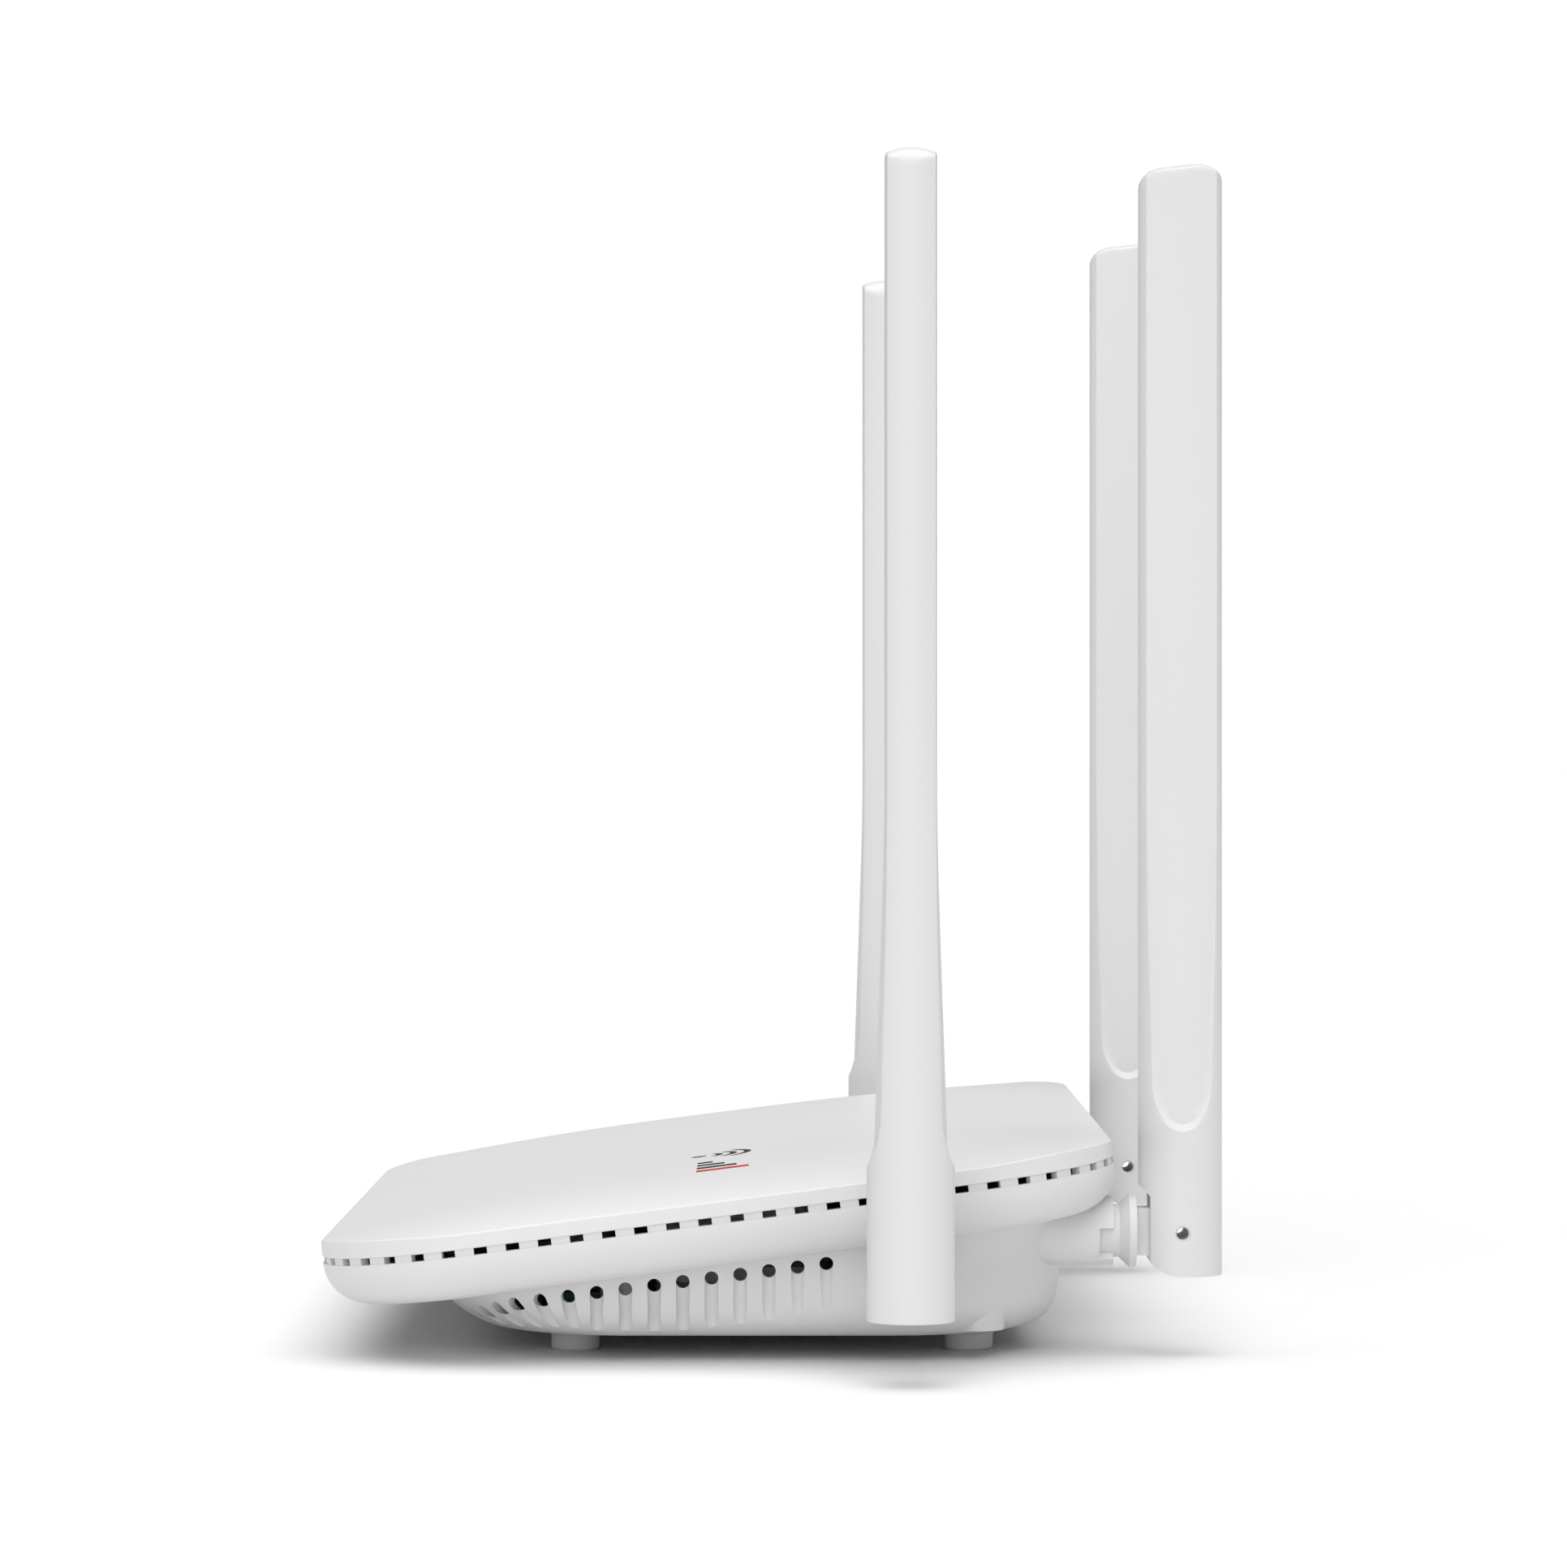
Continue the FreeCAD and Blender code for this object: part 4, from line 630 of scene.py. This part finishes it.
class AerialShape:
    """The outside of an aerial, with its hinge pin along X on the origin and its outer side towards +Y.

    Each level is a closed line of points: the outer side, the back face, the inner side, the front face.
    On the faces the lines run round the blade's arched outline, so the bevel inside it stays even.
    """
    SIDE_POINTS = 26
    ARCH_LEVELS = 26
    BLADE_LEVELS = 26
    ROOT_HEIGHT = 0.02
    ROOT_CROWN = 0.0004
    FLARE_FALL = 0.0026
    OUTER_CORNER, OUTER_FALL = 0.0045, 0.0031
    INNER_CORNER, INNER_FALL = 0.0046, 0.00375
    TOP_SLOPE = 0.0006
    TOP_SAG = 0.0009
    TOP_START = 0.0075

    def __init__(self, look, low, high):
        self.look, self.low, self.high = look, low, high

    def halves(self, height):
        """Half thickness of the blade's middle and edge at a height above the pin."""
        look = self.look
        left = min(1.0, max(0.0, 1 - (height - self.ROOT_HEIGHT) / (look.even - self.ROOT_HEIGHT)))
        middle = look.middle + (look.root - look.middle) * left ** 1.5 * (1.5 - 0.5 * left)
        fade = math.exp(min(0.0, self.ROOT_HEIGHT - height) / self.FLARE_FALL)
        flare = 0.31 * left ** 1.3 + 0.69 * fade * left
        edge = look.edge + (look.root - self.ROOT_CROWN - look.edge) * flare
        return middle, min(edge, middle - 0.00005)

    def corner(self, height):
        """Half width of the blade where its face meets the round base."""
        return math.sqrt(self.look.radius ** 2 - self.halves(height)[1] ** 2)

    def face_depth(self, y, height):
        middle, edge = self.halves(height)
        return middle - (middle - edge) * (y / self.corner(height)) ** 2

    def base_depth(self, y):
        return math.sqrt(max(self.look.radius ** 2 - y ** 2, 0.0))

    def lines(self, level):
        """Points across half a face, from the outline in to the middle, for one level."""
        look = self.look
        arch, height = level
        centre = look.shoulder + look.arch
        if arch is not None:
            offsets = [look.bevel * share for share in (0.0, 0.3, 0.7, 1.0)]
            inside = look.arch_width - look.bevel
            offsets += [look.bevel + inside * share for share in (0.2, 0.45, 0.7, 0.9, 1.0)]
            points = []
            for offset in offsets:
                wide = look.arch_width - offset
                tall = look.arch - offset
                y, z = wide * math.sin(arch), centre - tall * math.cos(arch)
                fade = min(1.0, offset / look.bevel)
                blend = fade * fade * (3 - 2 * fade)
                depth = self.base_depth(y) * (1 - blend) + self.face_depth(y, z) * blend
                points.append((min(depth, self.base_depth(y)), y, z))
            return points
        grow = min(1.0, (height - centre) / 0.03)
        grow = grow * grow * (3 - 2 * grow)
        outer = look.arch_width * (1 - grow) + self.corner(height) * grow
        narrow = look.bevel * (1 - 0.9 * min(1.0, (height - centre) / 0.05) ** 0.7)
        inside = outer - narrow
        ys = [outer - narrow * share for share in (0.0, 0.3, 0.7, 1.0)]
        ys += [inside * (1 - share) for share in (0.2, 0.45, 0.7, 0.9, 1.0)]
        points = []
        for y in ys:
            fade = min(1.0, (outer - y) / narrow)
            blend = fade * fade * (3 - 2 * fade)
            depth = self.base_depth(y) * (1 - blend) + self.face_depth(y, height) * blend
            points.append((min(depth, self.base_depth(y)), y, height))
        return points

    def ring(self, level):
        """The whole level, round the aerial."""
        half = self.lines(level)
        radius = self.look.radius
        outline, height = half[0][1], half[0][2]
        start = math.acos(min(1.0, outline / radius))
        turns = [start * (1 - 2 * index / self.SIDE_POINTS) for index in range(1, self.SIDE_POINTS)]
        side = [(radius * math.sin(turn), radius * math.cos(turn), height) for turn in turns]
        back = [(-x, y, z) for x, y, z in half] + [(-x, -y, z) for x, y, z in reversed(half[:-1])]
        front = [(-x, -y, z) for x, y, z in back]
        far_side = [(-x, -y, z) for x, y, z in side]
        return side + back + far_side + front

    def top_height(self, x, y):
        """The crowned top with its two rounded corners."""
        reach = self.look.radius
        outer, inner = reach - self.OUTER_CORNER, self.INNER_CORNER - reach
        if y > outer:
            fall = self.OUTER_FALL * self.rounding((y - outer) / self.OUTER_CORNER)
        elif y >= inner:
            fall = self.TOP_SLOPE * (outer - y) / (outer - inner)
        else:
            fall = self.TOP_SLOPE + self.INNER_FALL * self.rounding((inner - y) / self.INNER_CORNER)
        return self.high - fall - self.TOP_SAG * (x / self.look.middle) ** 2

    @staticmethod
    def rounding(share):
        """How far a round corner has fallen at a share of its width."""
        return 1 - math.sqrt(max(0.0, 1 - share ** 2))

    def levels(self):
        look = self.look
        arches = [(turn, None) for turn in np.linspace(0.0, math.pi / 2, self.ARCH_LEVELS)]
        centre = look.shoulder + look.arch
        count = self.BLADE_LEVELS
        heights = [centre + (look.even - centre) * (step / count) ** 1.25 for step in range(1, count + 1)]
        heights += list(np.linspace(look.even + 0.008, self.high - self.TOP_START, 8))
        return arches + [(None, height) for height in heights]

    def build(self, name):
        shape = bmesh.new()
        levels = self.levels()
        rings = [self.ring(level) for level in levels]
        rim = rings[-1]
        base = [[(x, y, self.low) for x, y, _ in rings[0]]]
        for share in (0.3, 0.6, 0.8, 0.92):
            height = self.low + (self.look.shoulder - 0.0003 - self.low) * share
            base.append([(x, y, height) for x, y, _ in rings[0]])
        stack = base + rings
        start = self.high - self.TOP_START
        tiny = self.look.top_round
        for share in (0.3, 0.6, 0.85, 1.0):
            stack.append([(x, y, start + (self.top_height(x, y) - tiny - start) * share) for x, y, _ in rim])
        for turn in (0.5, 1.0):
            inset = tiny * (1 - math.cos(turn * math.pi / 2))
            rise = tiny * math.sin(turn * math.pi / 2)
            stack.append([self.drawn_in(point, inset, rise - tiny) for point in rim])
        for share in (0.9, 0.75, 0.55, 0.3, 0.1):
            stack.append([self.shrunk(point, share) for point in rim])
        made = [ring_of(shape, points) for points in stack]
        grid_faces(shape, made)
        shape.faces.new(made[-1])
        shape.faces.new(list(reversed(made[0])))
        bmesh.ops.remove_doubles(shape, verts=shape.verts, dist=0.0000008)
        bmesh.ops.dissolve_degenerate(shape, edges=shape.edges, dist=0.0000004)
        bmesh.ops.recalc_face_normals(shape, faces=shape.faces)
        mesh = bpy.data.meshes.new(name)
        shape.to_mesh(mesh)
        shape.free()
        return mesh

    def drawn_in(self, point, inset, drop):
        x, y, _ = point
        reach = math.hypot(x, y)
        x, y = x * (1 - inset / reach), y * (1 - inset / reach)
        return x, y, self.top_height(x, y) + drop

    def shrunk(self, point, share):
        x, y, _ = point
        x, y = x * share, y * share
        return x, y, self.top_height(x, y)


class EXTENDER_OT_aerials(bpy.types.Operator):
    """Builds the paddle aerials: a round base with its hinge slot, and a blade that thins upward"""
    bl_idname = "extender.aerials"
    bl_label = "Aerial covers"

    def execute(self, context):
        look = context.scene.extender_aerial
        pins = {name: Vector(joints[f"fold_{name}"]["pos_m"]) for name in AERIALS}
        pin = pins["rear_right"]
        low, high = AERIAL_LOW.z - pin.z, AERIAL_HIGH.z - pin.z
        mesh = AerialShape(look, low, high).build("aerial_blank")
        blank = linked("aerial_blank", mesh)
        tools = self.hinge_tools(look)
        for tool in tools:
            cut = blank.modifiers.new("cut", "BOOLEAN")
            cut.operation = "DIFFERENCE"
            cut.solver = "EXACT"
            cut.object = tool
        applied(blank)
        for tool in tools:
            bpy.data.objects.remove(tool)
        for name in AERIALS:
            turn = 0.0 if name.startswith("rear") else math.copysign(math.pi / 2, -pins[name].x)
            copy = blank.data.copy()
            copy.transform(Matrix.Translation(pins[name]) @ Matrix.Rotation(turn, 4, "Z"))
            piece = linked(f"aerial_{name}_cover", copy)
            smooth_by_angle(piece, 26)
            dress(piece, f"aerial_{name}", f"aerial_cover_{name}")
        bpy.data.objects.remove(blank)
        return {"FINISHED"}

    SLOT_HALF = 0.0033
    SLOT_TOP = 0.0059
    NOSE = 0.0043
    PIN_RADIUS = 0.001275
    FLAT = 0.0053
    FLAT_TOP = 0.0061
    HEEL = 0.00735

    def hinge_tools(self, look):
        """Cutters for the hinge slot, the pin's hole, the flat front and the rounded heel."""
        deep = look.radius * 2
        return [
            self.extruded("slot_tool", self.slot_outline(deep), self.SLOT_HALF),
            self.extruded("pin_tool", self.arc(self.PIN_RADIUS, np.linspace(0, 2 * math.pi, 41)[:-1]), deep),
            self.extruded("heel_tool", self.heel_outline(look, deep), deep),
        ]

    @staticmethod
    def arc(radius, turns):
        return [(radius * math.cos(turn), radius * math.sin(turn)) for turn in turns]

    def slot_outline(self, deep):
        """From above the tongue, down its front, and round under the pin."""
        nose = self.arc(self.NOSE, np.linspace(0, math.pi / 2, 14))
        return [(self.NOSE, -deep)] + nose + [(0.0, self.SLOT_TOP), (-deep, self.SLOT_TOP), (-deep, -deep)]

    def heel_outline(self, look, deep):
        """All that lies in front of the flat and outside the heel's arc about the pin."""
        flat, heel = self.FLAT, self.HEEL
        start = math.acos(flat / heel)
        arc = [(-y, -z) for y, z in self.arc(heel, np.linspace(start, math.pi / 2, 16))]
        slope = look.radius - flat + 0.001
        top = self.FLAT_TOP
        rear = [(0.0, -deep), (-deep, -deep), (-deep, top + slope + deep - look.radius)]
        return [(-flat, top)] + arc + rear + [(-flat - slope, top + slope)]

    @staticmethod
    def extruded(name, outline, half):
        """A closed tool: an outline in Y and Z drawn along X."""
        shape = bmesh.new()
        near = [shape.verts.new((-half, y, z)) for y, z in outline]
        far = [shape.verts.new((half, y, z)) for y, z in outline]
        grid_faces(shape, [near, far])
        shape.faces.new(near)
        shape.faces.new(list(reversed(far)))
        bmesh.ops.recalc_face_normals(shape, faces=shape.faces)
        mesh = bpy.data.meshes.new(name)
        shape.to_mesh(mesh)
        shape.free()
        return linked(name, mesh)


# ---- small parts on the board, made by Geometry Nodes ------------------------------------------------------
class ExtenderBoard(bpy.types.PropertyGroup):
    count: bpy.props.IntProperty(name="Parts", description="Small parts in each strip", default=60)
    length: bpy.props.FloatProperty(name="Length", description="Length of a small part", default=0.0016,
                                    unit="LENGTH")
    strip: bpy.props.FloatProperty(name="Strip", description="Width of the strips along the board's sides",
                                   default=0.012, unit="LENGTH")


def scatter_tree(material):
    """Small blocks on a rectangle: sizes, place and seed are the tree's inputs."""
    tree = bpy.data.node_groups.new("small_board_parts", "GeometryNodeTree")
    face = tree.interface
    face.new_socket("Geometry", in_out="OUTPUT", socket_type="NodeSocketGeometry")
    inputs = {"Width": "Float", "Depth": "Float", "Place": "Vector", "Spacing": "Float", "Length": "Float",
              "Seed": "Int"}
    for name, kind in inputs.items():
        face.new_socket(name, in_out="INPUT", socket_type=f"NodeSocket{kind}")
    maker = Nodes(tree)
    given = maker.add("NodeGroupInput")
    port = {socket.name: Value(maker, socket) for socket in given.outputs if socket.name}
    columns = port["Width"] / port["Spacing"]
    rows = port["Depth"] / port["Spacing"]
    grid = maker.out("GeometryNodeMeshGrid", None, {"Size X": port["Width"], "Size Y": port["Depth"],
                                                    "Vertices X": columns, "Vertices Y": rows})
    keep = maker.out("FunctionNodeRandomValue", {"data_type": "BOOLEAN"}, {"Probability": 0.62,
                                                                          "Seed": port["Seed"]}, output=3)
    block = maker.add("GeometryNodeMeshCube")
    size = maker.out("ShaderNodeCombineXYZ", None, {0: port["Length"], 1: port["Length"] * 0.5,
                                                    2: port["Length"] * 0.35})
    maker.tree.links.new(size.socket, block.inputs["Size"])
    turn = maker.out("FunctionNodeRandomValue", {"data_type": "INT"},
                     {"Min": 0, "Max": 3, "Seed": port["Seed"]}, output=2)
    angle = maker.out("ShaderNodeCombineXYZ", None, {2: turn * (math.pi / 2)})
    shape = Value(maker, block.outputs["Mesh"])
    placed = maker.out("GeometryNodeInstanceOnPoints", None,
                       {"Points": grid, "Selection": keep, "Instance": shape, "Rotation": angle})
    moved = maker.out("GeometryNodeTransform", None, {"Geometry": placed, "Translation": port["Place"]})
    real = maker.out("GeometryNodeRealizeInstances", None, {"Geometry": moved})
    done = maker.out("GeometryNodeSetMaterial", None, {"Geometry": real, "Material": material})
    out = maker.add("NodeGroupOutput")
    tree.links.new(done.socket, out.inputs[0])
    return tree


class EXTENDER_OT_board_parts(bpy.types.Operator):
    """Scatters rows of small chip parts along the sides of the main board"""
    bl_idname = "extender.board_parts"
    bl_label = "Small board parts"

    def execute(self, context):
        look = context.scene.extender_board
        low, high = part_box("main_board")
        tree = scatter_tree(MATERIALS["chip_black"])
        depth = (high.y - low.y) * 0.5
        spacing = look.length * 1.9
        for name, seed, side in (("right", 3, 1), ("left", 4, -1)):
            piece = linked(f"board_small_parts_{name}", bpy.data.meshes.new("parts"))
            modifier = piece.modifiers.new("scatter", "NODES")
            modifier.node_group = tree
            middle = (side * (high.x - look.strip * 0.75), (low.y + high.y) / 2 - depth * 0.1,
                      high.z + look.length * 0.175)
            values = {"Width": look.strip, "Depth": depth, "Place": middle, "Spacing": spacing,
                      "Length": look.length, "Seed": seed}
            for item in tree.interface.items_tree:
                if item.name in values and item.in_out == "INPUT":
                    modifier[item.identifier] = values[item.name]
            applied(piece)
            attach(piece, "case")
        return {"FINISHED"}


# ---- plastic and studio ----------------------------------------------------------------------------------
class ExtenderPlastic(bpy.types.PropertyGroup):
    colour: bpy.props.FloatVectorProperty(name="White", description="Colour of the moulded plastic",
                                          subtype="COLOR", default=(0.73, 0.73, 0.728))
    roughness: bpy.props.FloatProperty(name="Roughness", default=0.44,
                                       description="Roughness of the satin plastic")
    sharp_angle: bpy.props.FloatProperty(name="Sharp angle", default=24.0,
                                         description="Edges turned more than this, in degrees, stay sharp")


class ExtenderStage(bpy.types.PropertyGroup):
    camera_distance: bpy.props.FloatProperty(name="Camera distance", default=0.99, unit="LENGTH",
                                             description="Camera from the middle, along X")
    camera_side: bpy.props.FloatProperty(name="Camera side", description="Camera's place along Y",
                                         default=0.00195, unit="LENGTH")
    camera_height: bpy.props.FloatProperty(name="Camera height", description="Camera above the floor",
                                           default=0.1025, unit="LENGTH")
    camera_shift: bpy.props.FloatProperty(name="Camera shift", default=-0.02245,
                                          description="Upright shift that frames the object")
    lens: bpy.props.FloatProperty(name="Lens", description="Focal length in millimetres", default=124.15)
    sky: bpy.props.FloatProperty(name="Sky", description="Light from all round", default=0.18)
    key: bpy.props.FloatProperty(name="Key", description="Strength of the wide overhead light", default=3.15)
    key_height: bpy.props.FloatProperty(name="Key height", description="Height of the overhead light",
                                        default=math.radians(80), subtype="ANGLE")
    key_spread: bpy.props.FloatProperty(name="Key spread", description="How wide the overhead light looks",
                                        default=math.radians(85), subtype="ANGLE")
    fill: bpy.props.FloatProperty(name="Fill", default=0.72,
                                  description="Strength of the low light from the +X side")
    fill_height: bpy.props.FloatProperty(name="Fill height", description="Height of the low light",
                                         default=math.radians(17), subtype="ANGLE")
    fill_side: bpy.props.FloatProperty(name="Fill side", description="Turn of the low light from +X",
                                       default=math.radians(-8), subtype="ANGLE")
    fill_spread: bpy.props.FloatProperty(name="Fill spread", description="How wide the low light looks",
                                         default=math.radians(40), subtype="ANGLE")
    floor: bpy.props.FloatVectorProperty(name="Floor", description="Colour of the floor", subtype="COLOR",
                                         default=(0.84, 0.84, 0.84))


class EXTENDER_OT_stage(bpy.types.Operator):
    """Sets up the floor, the soft studio light and the camera"""
    bl_idname = "extender.stage"
    bl_label = "Studio"

    def execute(self, context):
        look = context.scene.extender_stage
        self.floor(look)
        self.sky(context, look)
        self.sun("overhead", look.key_height, 0.0, look.key, look.key_spread)
        self.sun("low_fill", look.fill_height, look.fill_side, look.fill, look.fill_spread)
        camera = bpy.data.cameras.new("camera")
        camera.lens = look.lens
        camera.sensor_width = 36.0
        camera.shift_y = look.camera_shift
        camera.clip_start = 0.05
        holder = bpy.data.objects.new("camera", camera)
        holder.location = (look.camera_distance, look.camera_side, look.camera_height)
        holder.rotation_euler = (math.pi / 2, 0.0, math.pi / 2)
        context.scene.collection.objects.link(holder)
        context.scene.camera = holder
        context.scene.view_settings.view_transform = "Standard"
        return {"FINISHED"}

    @staticmethod
    def floor(look):
        size = 30.0
        mesh = bpy.data.meshes.new("floor")
        corners_of_floor = [(-size, -size, 0), (size, -size, 0), (size, size, 0), (-size, size, 0)]
        mesh.from_pydata(corners_of_floor, [], [(0, 1, 2, 3)])
        piece = linked("floor", mesh)
        material, maker = new_material("floor_paper")
        place = object_place(maker)
        fibre = noise(maker, place, 60.0, 2.0)
        finish_material(maker, {
            "Base Color": mixed(maker, fibre, rgba(look.floor, 0.995), rgba(look.floor, 1.0)),
            "Roughness": 0.9,
            "Specular IOR Level": 0.1,
        })
        mesh.materials.append(material)

    @staticmethod
    def sky(context, look):
        world = bpy.data.worlds.new("studio")
        context.scene.world = world
        world.use_nodes = True
        world.node_tree.nodes.clear()
        maker = Nodes(world.node_tree)
        seen = maker.out("ShaderNodeLightPath")
        strength = look.sky + (1.06 - look.sky) * seen
        glow = maker.add("ShaderNodeBackground", None, {"Color": (1, 1, 1, 1), "Strength": strength})
        output = maker.add("ShaderNodeOutputWorld")
        world.node_tree.links.new(glow.outputs[0], output.inputs[0])

    @staticmethod
    def sun(name, height, side, power, spread):
        """A wide soft light that comes down from the +X side."""
        light = bpy.data.lights.new(name, "SUN")
        light.energy = power
        light.angle = spread
        holder = bpy.data.objects.new(name, light)
        level = math.cos(height)
        from_side = Vector((level * math.cos(side), level * math.sin(side), math.sin(height)))
        holder.rotation_euler = from_side.to_track_quat("Z", "Y").to_euler()
        bpy.context.scene.collection.objects.link(holder)


OPERATORS = (
    EXTENDER_OT_top_cover,
    EXTENDER_OT_bottom_case,
    EXTENDER_OT_small_mouldings,
    EXTENDER_OT_aerials,
    EXTENDER_OT_board_parts,
    EXTENDER_OT_inner_finishes,
    EXTENDER_OT_stage,
)
GROUPS = {
    "extender_cover": ExtenderCover,
    "extender_aerial": ExtenderAerial,
    "extender_board": ExtenderBoard,
    "extender_plastic": ExtenderPlastic,
    "extender_stage": ExtenderStage,
}


class VIEW3D_PT_extender(bpy.types.Panel):
    """Lists the extender's pieces in the sidebar"""
    bl_label = "Extender"
    bl_space_type = "VIEW_3D"
    bl_region_type = "UI"
    bl_category = "Extender"

    def draw(self, context):
        for name in GROUPS:
            settings = getattr(context.scene, name)
            column = self.layout.column(align=True)
            for key in settings.__annotations__:
                column.prop(settings, key)
        for operator in OPERATORS:
            self.layout.operator(operator.bl_idname)


def register():
    for group in GROUPS.values():
        bpy.utils.register_class(group)
    for name, group in GROUPS.items():
        setattr(bpy.types.Scene, name, bpy.props.PointerProperty(type=group))
    for operator in OPERATORS:
        bpy.utils.register_class(operator)
    bpy.utils.register_class(VIEW3D_PT_extender)


def unregister():
    bpy.utils.unregister_class(VIEW3D_PT_extender)
    for operator in reversed(OPERATORS):
        bpy.utils.unregister_class(operator)
    for name, group in GROUPS.items():
        delattr(bpy.types.Scene, name)
        bpy.utils.unregister_class(group)


def main():
    register()
    make_finishes()
    for operator in OPERATORS:
        family, name = operator.bl_idname.split(".")
        getattr(getattr(bpy.ops, family), name)()


if __name__ == "__main__":
    main()
